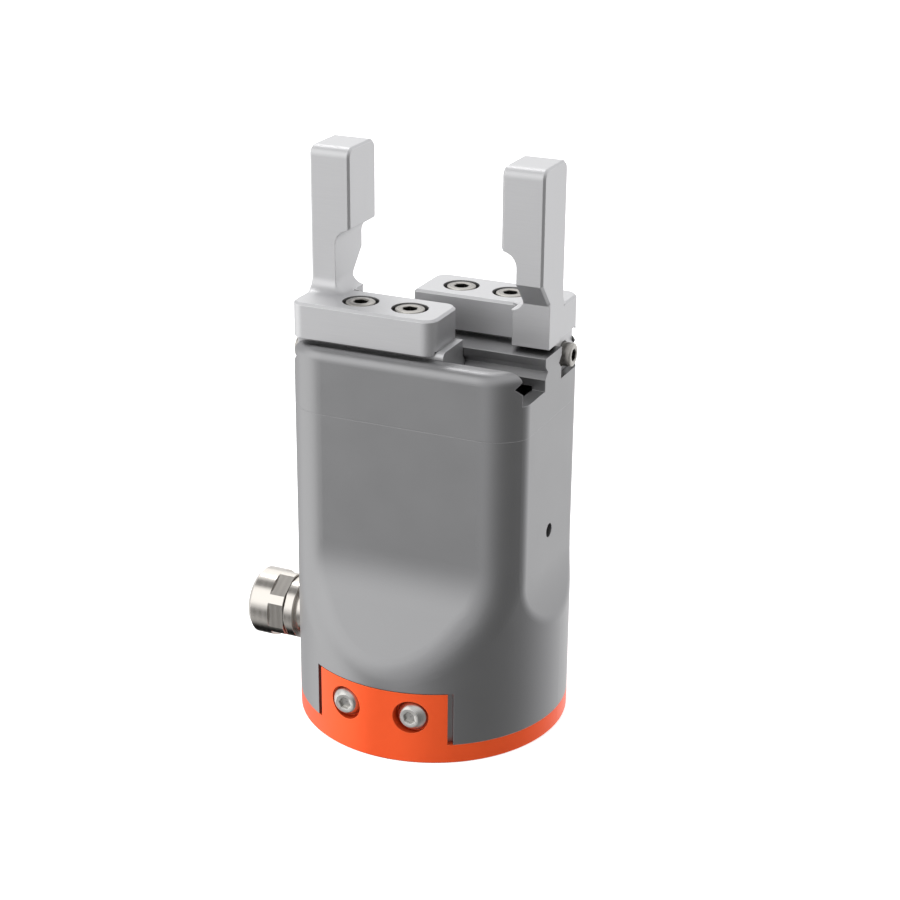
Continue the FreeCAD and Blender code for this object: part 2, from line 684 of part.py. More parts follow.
def arc_face(start, middle, end, corners):
    points = [V(x, 0, z) for x, z in (start, middle, end)]
    run = [points[-1]] + [V(x, 0, z) for x, z in corners] + [points[0]]
    lines = [Part.makeLine(a, b) for a, b in zip(run, run[1:])]
    return Part.Face(Part.Wire([Part.Arc(*points).toShape()] + lines))


# Fills the inner corner at the origin between +X and +Z with a round of the given radius

def corner_fill(radius):
    bend = radius * (1 - math.sqrt(0.5))
    return arc_face((radius, 0), (bend, bend), (0, radius), [(0, 0)])


def make_plate(tip_corner_r):
    plate = box(-JAW_OUTER_X, PLATE_INNER_END, -PLATE_OUTER_Y, -PLATE_INNER_Y, PLATE_Z, PLATE_TOP_Z)
    uprights = [edge for edge in plate.Edges if edge.BoundBox.ZLength > PLATE_T / 2]
    outer = [edge for edge in uprights if near(edge.BoundBox.YMin, -PLATE_OUTER_Y)]
    plate = plate.makeFillet(PLATE_CORNER_R, outer)
    tip = edges_where(plate, lambda p: near(p.x, PLATE_INNER_END) and near(p.y, -PLATE_INNER_Y))
    plate = plate.makeFillet(tip_corner_r, tip)
    rim = [edge for edge in edges_where(plate, lambda p: near(p.z, PLATE_TOP_Z))
           if not near(edge.BoundBox.YMin, -PLATE_INNER_Y)]
    return plate.makeChamfer(PLATE_CHAMFER, rim)


def finger_hollows():
    bend = math.sqrt(0.5)
    far = 2 * JAW_OUTER_X
    under_z = PAD_BOTTOM_Z - UNDERCUT_R
    under_end = UNDERCUT_R - POST_INNER_X
    under = arc_face((-POST_INNER_X, under_z),
                     (under_end - UNDERCUT_R * bend, under_z + UNDERCUT_R * bend),
                     (under_end, PAD_BOTTOM_Z), [(far, PAD_BOTTOM_Z), (far, under_z)])
    root_z = PLATE_TOP_Z + ROOT_FILLET_R
    root_end = ROOT_FILLET_R - POST_INNER_X
    root = arc_face((root_end, PLATE_TOP_Z),
                    (root_end - ROOT_FILLET_R * bend, root_z - ROOT_FILLET_R * bend),
                    (-POST_INNER_X, root_z), [(-POST_INNER_X, under_z), (far, under_z), (far, PLATE_TOP_Z)])
    sweep = V(0, 4 * FINGER_HALF_W, 0)
    below = box(-BLOCK_INNER_X, 0, -2 * FINGER_HALF_W, 2 * FINGER_HALF_W, PLATE_Z, PLATE_TOP_Z)
    return [moved(face.extrude(sweep), y=-2 * FINGER_HALF_W) for face in (under, root)] + [below]


def make_post():
    inset = -PLATE_INNER_Y - OVERCUT
    side = [(-FINGER_HALF_W, FINGER_TOP_Z), (FINGER_HALF_W, FINGER_TOP_Z), (FINGER_HALF_W, SLANT_TOP_Z),
            (BLOCK_FACE_Y, SLANT_BOTTOM_Z), (BLOCK_FACE_Y, PLATE_Z), (inset, PLATE_Z),
            (inset, PLATE_TOP_Z - OVERCUT), (-FINGER_HALF_W, PLATE_TOP_Z - OVERCUT)]
    post = prism_x(side, -JAW_OUTER_X, -PAD_X)
    shoulders = edges_where(post, lambda p: near(p.z, FINGER_TOP_Z) and near(abs(p.y), FINGER_HALF_W))
    return post.makeFillet(FINGER_TOP_R, shoulders).cut(finger_hollows())


def root_rounds():
    fill = corner_fill(ROOT_FILLET_R)
    along = turned(fill, -90).extrude(V(JAW_OUTER_X - POST_INNER_X, 0, 0))
    around = turned(fill, -90).revolve(ORIGIN, UP, 90)
    block = turned(corner_fill(BLOCK_RELIEF_R), -90, V(1, 0, 0)).extrude(V(0, 0, PLATE_T))
    return [moved(along, -JAW_OUTER_X, -FINGER_HALF_W, PLATE_TOP_Z),
            moved(around, -POST_INNER_X, -FINGER_HALF_W, PLATE_TOP_Z),
            moved(block, -BLOCK_INNER_X, -PLATE_INNER_Y, PLATE_Z)]


def is_finger_end(edge):
    points = edge_samples(edge)
    outer = all(near(p.x, -JAW_OUTER_X) and p.z > PLATE_TOP_Z + 1 for p in points)
    pad = all(near(p.x, -PAD_X) and p.z > PAD_BOTTOM_Z - MATCH for p in points)
    return outer or pad


def make_finger(tip_corner_r):
    jaw = fused([make_plate(tip_corner_r), make_post()] + root_rounds())
    tools = [box(-2 * JAW_OUTER_X, JAW_OUTER_X, -SLIDER_OUTER_Y - SPIN_GAP, SPIN_GAP - SLIDER_INNER_Y,
                 PLATE_Z, SLIDER_TOP_Z)]
    for x in JAW_SCREW_X:
        tools.append(rod(JAW_COUNTERBORE_R, JAW_SCREW_SEAT_Z, PLATE_TOP_Z, -x, JAW_Y))
        tools.append(rod(M4_R + HOLE_PLAY, PLATE_Z, JAW_SCREW_SEAT_Z, -x, JAW_Y))
    jaw = jaw.cut(tools)
    return jaw.makeChamfer(FINGER_CHAMFER, [edge for edge in jaw.Edges if is_finger_end(edge)])


# Racks and pinion

def make_rack():
    pitch_y = -PINION_PITCH_R
    tip_y = pitch_y + RACK_ADDENDUM * MODULE
    root_y = pitch_y - DEDENDUM * MODULE
    pitch = math.pi * MODULE
    half = pitch / 4 - RACK_BACKLASH / 2
    tip_half = half - (tip_y - pitch_y) * math.tan(PRESSURE)
    root_half = half + (pitch_y - root_y) * math.tan(PRESSURE)
    bar = box(-RACK_OUTER_END, RACK_INNER_END, -RACK_BACK_Y, root_y, RACK_Z, SLIDER_FLOOR_Z)
    first = math.ceil((root_half - RACK_OUTER_END) / pitch - 0.5)
    last = math.floor((RACK_INNER_END - root_half) / pitch - 0.5)
    teeth = []
    for k in range(first, last + 1):
        x = pitch * (k + 0.5)
        outline = [(x - root_half, root_y), (x - tip_half, tip_y),
                   (x + tip_half, tip_y), (x + root_half, root_y)]
        teeth.append(prism_z(outline, RACK_Z, SLIDER_FLOOR_Z))
    tools = []
    for x in RACK_SCREW_X:
        tools.append(rod(M2_R + HOLE_PLAY, RACK_Z, SLIDER_FLOOR_Z, -x, -RACK_SCREW_Y))
        tools.append(rod(RACK_SCREW_HEAD_R + SPIN_GAP, RACK_Z, RACK_SCREW_SEAT_Z, -x, -RACK_SCREW_Y))
    return fused([bar] + teeth).cut(tools)


def make_rack_screws():
    screw = cap_screw(M2_R, RACK_SCREW_LENGTH, RACK_SCREW_HEAD_R, RACK_SCREW_HEAD_H,
                      M2_KEY_W, RACK_SCREW_KEY_DEPTH)
    screw = turned(screw, 180, V(1, 0, 0))
    return Part.Compound([moved(screw, -x, -RACK_SCREW_Y, RACK_SCREW_SEAT_Z) for x in RACK_SCREW_X])


def make_pinion():
    half = math.pi / (2 * PINION_TEETH) - RACK_BACKLASH / (2 * PINION_PITCH_R)
    teeth = gear(PINION_TEETH, MODULE, PINION_PITCH_R + MODULE, PINION_PITCH_R - DEDENDUM * MODULE, half,
                 PINION_Z, PINION_TOP_Z)
    hub = rod(PINION_HUB_R, PINION_HUB_Z, PINION_TOP_Z)
    return fused([teeth, hub]).cut(rod(OUTPUT_SHAFT_R + PRESS_GAP, PINION_HUB_Z, PINION_TOP_Z))


# Planetary gearbox

def small_gear(teeth, turn):
    pitch_r = BOX_MODULE * teeth / 2
    half = math.pi / (2 * teeth) - BOX_BACKLASH / (2 * pitch_r)
    return gear(teeth, BOX_MODULE, pitch_r + BOX_ADDENDUM * BOX_MODULE,
                pitch_r - BOX_DEDENDUM * BOX_MODULE, half, PLANET_Z, PLANET_TOP_Z, turn)


def make_planet(angle):
    wheel = small_gear(PLANET_TEETH, math.radians(angle + 180 + 180 / PLANET_TEETH))
    wheel = wheel.cut(rod(PLANET_PIN_R + SPIN_GAP, PLANET_Z, PLANET_TOP_Z))
    spot = polar(ORBIT_R, math.radians(angle))
    return moved(wheel, spot.x, spot.y)


def make_sun():
    return small_gear(SUN_TEETH, 0.0).cut(rod(MOTOR_SHAFT_R + PRESS_GAP, PLANET_Z, PLANET_TOP_Z))


def make_ring_gear():
    pitch_r = BOX_MODULE * RING_TEETH / 2
    half = math.pi / (2 * RING_TEETH) + BOX_BACKLASH / (2 * pitch_r)
    spaces = gear(RING_TEETH, BOX_MODULE, pitch_r + BOX_DEDENDUM * BOX_MODULE,
                  pitch_r - BOX_ADDENDUM * BOX_MODULE, half, PLANET_Z, PLANET_TOP_Z, math.pi / RING_TEETH)
    return rod(BOX_BORE_R - PRESS_GAP, PLANET_Z, PLANET_TOP_Z).cut(spaces)


def make_gearbox_case():
    case = fused([rod(REGISTER_R - SEAT_GAP, REGISTER_Z, SEAM_Z), rod(BOX_R, MOTOR_TOP_Z, REGISTER_Z)])
    return case.cut([
        rod(BOX_BORE_R, MOTOR_TOP_Z, CARRIER_Z + CARRIER_H + 2 * SEAT_GAP),
        rod(OUTPUT_BEARING_R + PRESS_GAP, OUTPUT_BEARING_Z, SEAM_Z),
        rod(OUTPUT_BEARING_R - BEARING_LEDGE, MOTOR_TOP_Z, SEAM_Z),
    ])


def make_carrier_shaft():
    pieces = [
        rod(CARRIER_R, CARRIER_Z, CARRIER_Z + CARRIER_H),
        rod(OUTPUT_SHAFT_R + SHAFT_STEP, CARRIER_Z, OUTPUT_BEARING_Z),
        rod(OUTPUT_SHAFT_R, CARRIER_Z, PINION_TOP_Z),
        rod(TOP_JOURNAL_R + SHAFT_STEP / 2, PINION_TOP_Z - SHAFT_STEP, POCKET_ROOF_Z),
        rod(TOP_JOURNAL_R, PINION_TOP_Z, POCKET_ROOF_Z + TOP_BEARING_W),
    ]
    for angle in PLANET_ANGLES:
        spot = polar(ORBIT_R, math.radians(angle))
        pieces.append(rod(PLANET_PIN_R, PLANET_Z, CARRIER_Z + SHAFT_STEP, spot.x, spot.y))
    return fused(pieces)


# Motor

def make_motor_case():
    can = tube(MOTOR_R, MOTOR_INNER_R, MOTOR_Z, MOTOR_TOP_Z - MOTOR_END_T)
    end = rod(MOTOR_R, MOTOR_TOP_Z - MOTOR_END_T, MOTOR_TOP_Z)
    spigot = rod(BOX_BORE_R - PRESS_GAP, MOTOR_TOP_Z, MOTOR_TOP_Z + MOTOR_SPIGOT_H)
    return fused([can, end, spigot]).cut([
        rod(MOTOR_BEARING_R + PRESS_GAP, MOTOR_TOP_Z - MOTOR_END_T, MOTOR_TOP_Z),
        rod(MOTOR_BEARING_R - BEARING_LEDGE, MOTOR_TOP_Z, MOTOR_TOP_Z + MOTOR_SPIGOT_H),
    ])


def make_motor_cap():
    ledge = MOTOR_END_T - MOTOR_BEARING_W
    cap = rod(MOTOR_INNER_R - PRESS_GAP, MOTOR_Z, MOTOR_Z + MOTOR_END_T)
    tools = [rod(MOTOR_BEARING_R + PRESS_GAP, MOTOR_Z + ledge, MOTOR_Z + MOTOR_END_T),
             rod(MOTOR_BEARING_R - BEARING_LEDGE, MOTOR_Z, MOTOR_Z + ledge)]
    tools += [rod(M2_R, MOTOR_Z, MOTOR_Z + M2_TAP_DEPTH, x, y) for x, y in ENCODER_SPOTS]
    return cap.cut(tools)


def make_stator():
    outer = MOTOR_INNER_R - PRESS_GAP
    tooth = box(STATOR_BORE_R, outer - STATOR_YOKE / 2, -STATOR_TOOTH_W / 2, STATOR_TOOTH_W / 2,
                STACK_Z, STACK_TOP_Z)
    shoe = box(STATOR_BORE_R - SHOE_T, STATOR_BORE_R + SHOE_T, -STATOR_TOOTH_W, STATOR_TOOTH_W,
               STACK_Z, STACK_TOP_Z)
    arm = tooth.fuse(shoe)
    arms = [turned(arm, 360 / STATOR_TEETH * k) for k in range(STATOR_TEETH)]
    yoke = tube(outer, outer - STATOR_YOKE, STACK_Z, STACK_TOP_Z)
    return fused([yoke] + arms).cut(rod(STATOR_BORE_R, STACK_Z, STACK_TOP_Z))


def make_windings():
    half = STATOR_TOOTH_W / 2
    start = STATOR_BORE_R + SHOE_T + SPIN_GAP
    end = MOTOR_INNER_R - STATOR_YOKE - 4 * SPIN_GAP
    coil = box(start, end, -half - COIL_T, half + COIL_T,
               STACK_Z - COIL_OVERHANG, STACK_TOP_Z + COIL_OVERHANG)
    coil = coil.cut(box(start, end, -half - PRESS_GAP, half + PRESS_GAP,
                        STACK_Z - PRESS_GAP, STACK_TOP_Z + PRESS_GAP))
    return Part.Compound([turned(coil, 360 / STATOR_TEETH * k) for k in range(STATOR_TEETH)])


def make_magnet():
    magnet = rod(MAGNET_R, MAGNET_Z, MAGNET_Z + MAGNET_H)
    return magnet.cut(rod(MOTOR_SHAFT_R + PRESS_GAP, MAGNET_Z + MAGNET_SINK, MAGNET_Z + MAGNET_H))


# Encoder and driver boards

def make_encoder_board():
    board = rod(ENCODER_BOARD_R, ENCODER_BOARD_Z, ENCODER_TOP_Z)
    return board.cut([rod(M2_R + HOLE_PLAY, ENCODER_BOARD_Z, ENCODER_TOP_Z, x, y) for x, y in ENCODER_SPOTS])


def make_encoder_chip():
    half = ENCODER_CHIP_W / 2
    return box(-half, half, -half, half, ENCODER_TOP_Z, ENCODER_TOP_Z + ENCODER_CHIP_H)


def make_encoder_standoffs():
    post = rod(STANDOFF_R, ENCODER_TOP_Z, MOTOR_Z)
    stud = rod(M2_R - THREAD_GAP, ENCODER_BOARD_Z - M2_NUT_H, MOTOR_Z + M2_TAP_DEPTH - TAP_EXTRA)
    standoff = fused([post, stud])
    return Part.Compound([moved(standoff, x, y) for x, y in ENCODER_SPOTS])


def make_encoder_nuts():
    nut = hexagon(M2_NUT_W, ENCODER_BOARD_Z - M2_NUT_H, ENCODER_BOARD_Z)
    nut = nut.cut(rod(M2_R, ENCODER_BOARD_Z - M2_NUT_H, ENCODER_BOARD_Z))
    return Part.Compound([moved(nut, x, y) for x, y in ENCODER_SPOTS])


def make_driver_board():
    board = rod(DRIVER_BOARD_R, DRIVER_BOARD_Z, DRIVER_TOP_Z)
    tools = [box(-BASE_R, -DRIVER_BOARD_FLAT_X, -BASE_R, BASE_R, DRIVER_BOARD_Z, DRIVER_TOP_Z)]
    tools += [rod(M2_R + HOLE_PLAY, DRIVER_BOARD_Z, DRIVER_TOP_Z, x, y) for x, y in DRIVER_SPOTS]
    return board.cut(tools)


def make_driver_spacers():
    return Part.Compound([tube(STANDOFF_R, M2_R + HOLE_PLAY, SPIGOT_TOP_Z, DRIVER_BOARD_Z, x, y)
                          for x, y in DRIVER_SPOTS])


def make_driver_screws():
    length = BOARD_T + SPACER_H + M2_TAP_DEPTH - TAP_EXTRA
    screw = cap_screw(M2_R, length, M2_HEAD_R, M2_HEAD_H, M2_KEY_W, M2_KEY_DEPTH)
    return Part.Compound([moved(screw, x, y, DRIVER_TOP_Z) for x, y in DRIVER_SPOTS])


def make_driver_parts():
    half = PROCESSOR_W / 2
    solids = [box(-half, half, -half, half, DRIVER_TOP_Z, DRIVER_TOP_Z + CHIP_H)]
    for x in SWITCH_X:
        for y in SWITCH_Y:
            solids.append(box(x, x + SWITCH_W, y, y + SWITCH_L, DRIVER_TOP_Z, DRIVER_TOP_Z + CHIP_H))
    solids.append(box(-SOCKET_X, SOCKET_W - SOCKET_X, SOCKET_Y, SOCKET_Y + SOCKET_L,
                      DRIVER_TOP_Z, DRIVER_TOP_Z + SOCKET_H))
    for x, y in CAPACITOR_SPOTS:
        solids.append(rod(CAPACITOR_R, DRIVER_TOP_Z, DRIVER_TOP_Z + CAPACITOR_H, x, y))
    return Part.Compound(solids)


# Connector on the left, its axis along X

def on_axis(radius, near_x, far_x):
    return rod_x(radius, -far_x, -near_x, 0, CONNECTOR_Z)


def hexagon_x(across_flats, x0, x1):
    prism = turned(hexagon(across_flats, 0, x1 - x0), 30)
    return moved(turned(prism, -90, V(0, 1, 0)), -x0, 0, CONNECTOR_Z)


def make_connector_shell():
    sleeve_end = BASE_R - CONNECTOR_SPOT_DEPTH
    shell = fused([
        on_axis(CONNECTOR_NECK_R, CONNECTOR_SEAT_X - CONNECTOR_TAIL, CONNECTOR_HEX_END_X),
        on_axis(CONNECTOR_COLLAR_R, CONNECTOR_COLLAR_X, CONNECTOR_COLLAR_END_X),
        on_axis(CONNECTOR_SLEEVE_R, sleeve_end, CONNECTOR_COLLAR_X),
    ])
    return shell.cut(on_axis(CONNECTOR_NECK_R - CONNECTOR_WALL, 0, CONNECTOR_HEX_END_X))


def make_connector_barrel():
    band = hexagon_x(CONNECTOR_HEX_W, CONNECTOR_HEX_X, CONNECTOR_HEX_END_X)
    band = band.common(on_axis(CONNECTOR_HEX_CROWN_R, CONNECTOR_HEX_X, CONNECTOR_HEX_END_X))
    barrel = on_axis(CONNECTOR_BARREL_R, CONNECTOR_HEX_END_X, CONNECTOR_END_X)
    lip = edges_where(barrel, lambda p: near(p.x, -CONNECTOR_END_X))
    barrel = barrel.makeChamfer(CONNECTOR_LIP, lip)
    return fused([band, barrel]).cut([
        on_axis(CONNECTOR_NECK_R + THREAD_GAP, CONNECTOR_HEX_X, CONNECTOR_HEX_END_X),
        on_axis(CONNECTOR_SOCKET_R, CONNECTOR_HEX_END_X, CONNECTOR_END_X),
    ])


def make_connector_gasket():
    ring = on_axis(CONNECTOR_COLLAR_R - GASKET_INSET, CONNECTOR_COLLAR_END_X, CONNECTOR_HEX_X)
    return ring.cut(on_axis(CONNECTOR_NECK_R, CONNECTOR_COLLAR_END_X, CONNECTOR_HEX_X))


def contact_spots():
    ring = [polar(CONTACT_RING_R, 2 * math.pi * k / CONTACT_RING_COUNT) for k in range(CONTACT_RING_COUNT)]
    return [(spot.x, spot.y) for spot in ring] + [(0.0, 0.0)]


def contact_rods(radius):
    return [rod_x(radius, -CONNECTOR_HEX_END_X - CONTACT_REACH, CONNECTOR_TAIL - CONNECTOR_SEAT_X,
                  y, CONNECTOR_Z + z) for y, z in contact_spots()]


def make_connector_insert():
    core = on_axis(CONNECTOR_NECK_R - CONNECTOR_WALL - PRESS_GAP, CONNECTOR_SEAT_X - CONNECTOR_TAIL / 2,
                   CONNECTOR_HEX_END_X - CONNECTOR_INSERT_SINK)
    return core.cut(contact_rods(CONTACT_R))


def make_connector_nut():
    nut = hexagon_x(CONNECTOR_NUT_W, CONNECTOR_SEAT_X - CONNECTOR_NUT_T, CONNECTOR_SEAT_X)
    return nut.cut(on_axis(CONNECTOR_NECK_R + THREAD_GAP, 0, CONNECTOR_SEAT_X))


# Assembly, one shape for each node

def jaw_parts(side, angle, tip_corner_r):
    shapes = {
        "slider": make_slider(),
        "finger": make_finger(tip_corner_r),
        "rack": make_rack(),
        "rack_screws": make_rack_screws(),
        "jaw_screws": make_jaw_screws(),
        "end_screw": make_end_screw(),
    }
    return {side + "_" + name: turned(shape, angle) for name, shape in shapes.items()}


def drive_parts():
    output = bearing(OUTPUT_SHAFT_R, OUTPUT_BEARING_R, OUTPUT_BEARING_Z, OUTPUT_BEARING_W)
    top = bearing(TOP_JOURNAL_R, TOP_BEARING_R, POCKET_ROOF_Z, TOP_BEARING_W)
    front = bearing(MOTOR_SHAFT_R, MOTOR_BEARING_R, MOTOR_TOP_Z - MOTOR_BEARING_W, MOTOR_BEARING_W)
    back = bearing(MOTOR_SHAFT_R, MOTOR_BEARING_R, MOTOR_Z + MOTOR_END_T - MOTOR_BEARING_W, MOTOR_BEARING_W)
    parts = {
        "pinion": make_pinion(),
        "carrier_shaft": make_carrier_shaft(),
        "gearbox_case": make_gearbox_case(),
        "ring_gear": make_ring_gear(),
        "sun_gear": make_sun(),
        "bearing_outer_rings": Part.Compound([output[0], top[0], front[0], back[0]]),
        "output_inner_rings": Part.Compound([output[1], top[1]]),
        "motor_inner_rings": Part.Compound([front[1], back[1]]),
        "motor_case": make_motor_case(),
        "motor_cap": make_motor_cap(),
        "motor_stator": make_stator(),
        "motor_windings": make_windings(),
        "motor_rotor": tube(ROTOR_R, MOTOR_SHAFT_R + PRESS_GAP, STACK_Z, STACK_TOP_Z),
        "motor_shaft": rod(MOTOR_SHAFT_R, MAGNET_Z + MAGNET_SINK, PLANET_TOP_Z),
        "encoder_magnet": make_magnet(),
    }
    for number, angle in enumerate(PLANET_ANGLES, 1):
        parts["planet_gear_%d" % number] = make_planet(angle)
    return parts


def build():
    outer_body = make_outer_body()
    parts = {
        "mounting_base": make_base(),
        "tab_screws": make_tab_screws(),
        "lower_housing": make_lower_housing(outer_body),
        "head_block": make_head_block(outer_body),
        "head_screws": make_head_screws(),
        "encoder_board": make_encoder_board(),
        "encoder_chip": make_encoder_chip(),
        "encoder_standoffs": make_encoder_standoffs(),
        "encoder_nuts": make_encoder_nuts(),
        "driver_board": make_driver_board(),
        "driver_spacers": make_driver_spacers(),
        "driver_screws": make_driver_screws(),
        "driver_parts": make_driver_parts(),
        "connector_shell": make_connector_shell(),
        "connector_barrel": make_connector_barrel(),
        "connector_gasket": make_connector_gasket(),
        "connector_insert": make_connector_insert(),
        "connector_pins": Part.Compound(contact_rods(CONTACT_R - PRESS_GAP)),
        "connector_nut": make_connector_nut(),
    }
    parts.update(jaw_parts("front", 0, FRONT_PLATE_TIP_R))
    parts.update(jaw_parts("rear", 180, REAR_PLATE_TIP_R))
    parts.update(drive_parts())
    return parts


os.makedirs("parts", exist_ok=True)
for name, shape in build().items():
    shape.exportStep(os.path.join("parts", name + ".step"))
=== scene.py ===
import math

import bmesh
import bpy
from bpy.props import FloatProperty, FloatVectorProperty, IntProperty, PointerProperty
from bpy.types import Operator, Panel, PropertyGroup
from mathutils import Matrix, Vector


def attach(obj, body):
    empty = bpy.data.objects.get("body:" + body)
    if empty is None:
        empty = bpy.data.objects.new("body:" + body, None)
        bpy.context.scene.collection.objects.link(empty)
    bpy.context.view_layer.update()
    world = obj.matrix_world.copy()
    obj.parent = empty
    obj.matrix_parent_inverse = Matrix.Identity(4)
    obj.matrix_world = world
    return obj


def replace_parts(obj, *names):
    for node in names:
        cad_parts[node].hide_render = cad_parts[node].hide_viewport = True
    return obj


bl_info = {
    "name": "Parallel Gripper Finish",
    "version": (1, 0, 0),
    "blender": (4, 5, 0),
    "location": "3D View > Sidebar > Gripper",
    "description": "Dresses the packed parallel gripper with its surface finishes and small details",
    "category": "Object",
}

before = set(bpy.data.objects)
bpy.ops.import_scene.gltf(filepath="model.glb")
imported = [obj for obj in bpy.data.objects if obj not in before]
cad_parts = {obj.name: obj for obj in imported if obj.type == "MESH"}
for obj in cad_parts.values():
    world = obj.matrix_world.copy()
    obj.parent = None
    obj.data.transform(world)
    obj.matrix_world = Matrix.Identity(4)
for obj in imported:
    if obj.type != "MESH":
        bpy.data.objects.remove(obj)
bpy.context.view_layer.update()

MM = 0.001

# Places of the screws in the row frame, in millimetres, for the side at +Y
TAB_SCREW_X = 8.0
TAB_SCREW_SEAT_Y = 28.6
TAB_SCREW_Z = 11.5
JAW_SCREW_XS = (1.6, 13.5)
JAW_SCREW_Y = 10.15
JAW_SCREW_SEAT_Z = 95.5
END_SCREW_SEAT_X = 25.93
END_SCREW_Z = 87.0

# Sizes of the screws in millimetres. A key is measured across its flats
M4_SHANK_R = 1.97
M3_SHANK_R = 1.47
SHANK_POINT = 0.4
SEAT_EDGE = 0.1
KEY_EDGE = 0.12
TAB_SCREW_LENGTH = 8.0
TAB_KEY_W = 2.5
TAB_KEY_DEPTH = 0.9
TAB_RIM_H = 0.5
TAB_FLAT_R = 2.2
TAB_DRILL_TIP = 0.1
CAP_EDGE = 0.45
JAW_SCREW_LENGTH = 10.0
JAW_KEY_W = 3.0
JAW_KEY_DEPTH = 2.0
JAW_DRILL_TIP = 0.3
END_SCREW_LENGTH = 6.0
END_HEAD_R = 2.7
END_HEAD_H = 3.0
END_KEY_W = 2.5
END_KEY_DEPTH = 1.5
END_DRILL_TIP = 0.2

# Connector, about the axis through CONNECTOR_Z. A reach is how far along -X a face lies
CONNECTOR_Z = 16.3
BARREL_REACH = 46.2
BARREL_R = 8.1
BARREL_RIM = 1.05
FLATS_START = 36.6
FLATS_END = 40.5
FLATS_W = 15.0
SOCKET_FLOOR = 42.0
SOCKET_R = 6.3
THREAD_PITCH = 1.0
THREAD_DEPTH = 0.35
NECK_R = 6.0
NECK_BORE_R = 5.0
NECK_END = 16.1
SLEEVE_R = 6.2
SLEEVE_END = 29.9
COLLAR_R = 7.5
COLLAR_START = 34.2
COLLAR_END = 36.5
CONTACT_TIP_X = -44.8
CONTACT_RING_R = 2.9
CONTACTS_IN_RING = 7
CONTACT_R = 0.49
CONTACT_LENGTH = 28.7
CONTACT_TIP_H = 0.02
CONTACT_SEED = 1

# Camera, in degrees and in millimetres along its own right, up and back directions
LENS = 77.9
SENSOR_W = 36.0
CAMERA_AZIMUTH = 23.95
CAMERA_HEIGHT = 21.78
CAMERA_ROLL = 0.5
CAMERA_RIGHT = 3.83
CAMERA_UP = 58.59
CAMERA_BACK = 465.6

# Table and paper wall of the stage, in metres
TABLE_R = 3.0
TABLE_THICKNESS = 0.03
TABLE_EDGE_R = 0.006
WALL_H = 1.5
WALL_COVE_R = 0.3

# Middle of the part, which the softboxes face
PART_MIDDLE = (0, 0, 0.065)


# Colours are written as sRGB hex and used as linear values

def linear(hex_colour):
    channels = [int(hex_colour[k:k + 2], 16) / 255 for k in (1, 3, 5)]
    return [c / 12.92 if c <= 0.04045 else ((c + 0.055) / 1.055) ** 2.4 for c in channels] + [1.0]


# A colour with its brightness scaled

def toned(colour, share):
    return [min(channel * share, 1.0) for channel in colour[:3]] + [1.0]


# Adds a node with its settings. An input is given a constant, or another node's output to link

def add_node(tree, kind, settings=None, inputs=None):
    item = tree.nodes.new(kind)
    for key, value in (settings or {}).items():
        setattr(item, key, value)
    for key, value in (inputs or {}).items():
        if isinstance(value, bpy.types.NodeSocket):
            tree.links.new(value, item.inputs[key])
        else:
            item.inputs[key].default_value = value
    return item


def start_material(name, colour, metallic, roughness):
    material = bpy.data.materials.new(name)
    material.use_nodes = True
    material.diffuse_color = colour
    shader = material.node_tree.nodes["Principled BSDF"]
    shader.inputs["Base Color"].default_value = colour
    shader.inputs["Metallic"].default_value = metallic
    shader.inputs["Roughness"].default_value = roughness
    place = add_node(material.node_tree, "ShaderNodeTexCoord")
    return material, material.node_tree, shader, place.outputs["Object"]


# How many grains or bands of a size in millimetres fit in a metre, which is a texture's own scale.
# A wave texture has 20 bands at scale 1

def grains(size_mm):
    return 1.0 / (size_mm * MM)


def bands(size_mm):
    return grains(size_mm) / 20


# One pattern drives the colour and the roughness together

def vary(tree, shader, pattern, dark, light, smooth, rough):
    tone = add_node(tree, "ShaderNodeMix", {"data_type": "RGBA"}, {0: pattern, 6: dark, 7: light})
    gloss = add_node(tree, "ShaderNodeMapRange", inputs={
        "Value": pattern, "To Min": smooth, "To Max": rough})
    tree.links.new(tone.outputs[2], shader.inputs["Base Color"])
    tree.links.new(gloss.outputs["Result"], shader.inputs["Roughness"])


# Rounds the edges as deburring does, adds fine relief, and lightens the colour along the edges: partly
# wear, partly painted highlight

def broken_edges(tree, shader, radius_mm, wear_and_highlight, relief=None, depth_mm=0.0):
    edge = add_node(tree, "ShaderNodeBevel", {"samples": 6}, {"Radius": radius_mm * MM})
    normal = edge.outputs["Normal"]
    if relief is not None:
        bump = add_node(tree, "ShaderNodeBump", inputs={
            "Height": relief, "Distance": depth_mm * MM, "Normal": normal})
        normal = bump.outputs["Normal"]
    tree.links.new(normal, shader.inputs["Normal"])
    face = add_node(tree, "ShaderNodeNewGeometry")
    match = add_node(tree, "ShaderNodeVectorMath", {"operation": "DOT_PRODUCT"},
                     {0: edge.outputs["Normal"], 1: face.outputs["Normal"]})
    # Edge mask: the colour there is lightened as wear and as painted highlight
    rim = add_node(tree, "ShaderNodeMapRange", inputs={
        "Value": match.outputs["Value"], "From Min": 0.88, "From Max": 1.0, "To Min": 1.0, "To Max": 0.0})
    tone = add_node(tree, "ShaderNodeMix", {"data_type": "RGBA"}, {
        0: rim.outputs["Result"], 6: shader.inputs["Base Color"].links[0].from_socket, 7: wear_and_highlight})
    tree.links.new(tone.outputs[2], shader.inputs["Base Color"])


# Darkens narrow gaps and inner corners towards a shade colour: painted shade where little light reaches

def painted_gap_shade(tree, shader, reach_mm, gap_shade, strength=1.0):
    open_share = add_node(tree, "ShaderNodeAmbientOcclusion", {"samples": 8}, {"Distance": reach_mm * MM})
    shut = add_node(tree, "ShaderNodeMapRange", inputs={
        "Value": open_share.outputs["AO"], "From Min": 0.15, "From Max": 0.75,
        "To Min": strength, "To Max": 0.0})
    # Mixes the painted shade colour into the base colour in gaps and corners
    tone = add_node(tree, "ShaderNodeMix", {"data_type": "RGBA"}, {
        0: shut.outputs["Result"], 6: shader.inputs["Base Color"].links[0].from_socket, 7: gap_shade})
    tree.links.new(tone.outputs[2], shader.inputs["Base Color"])
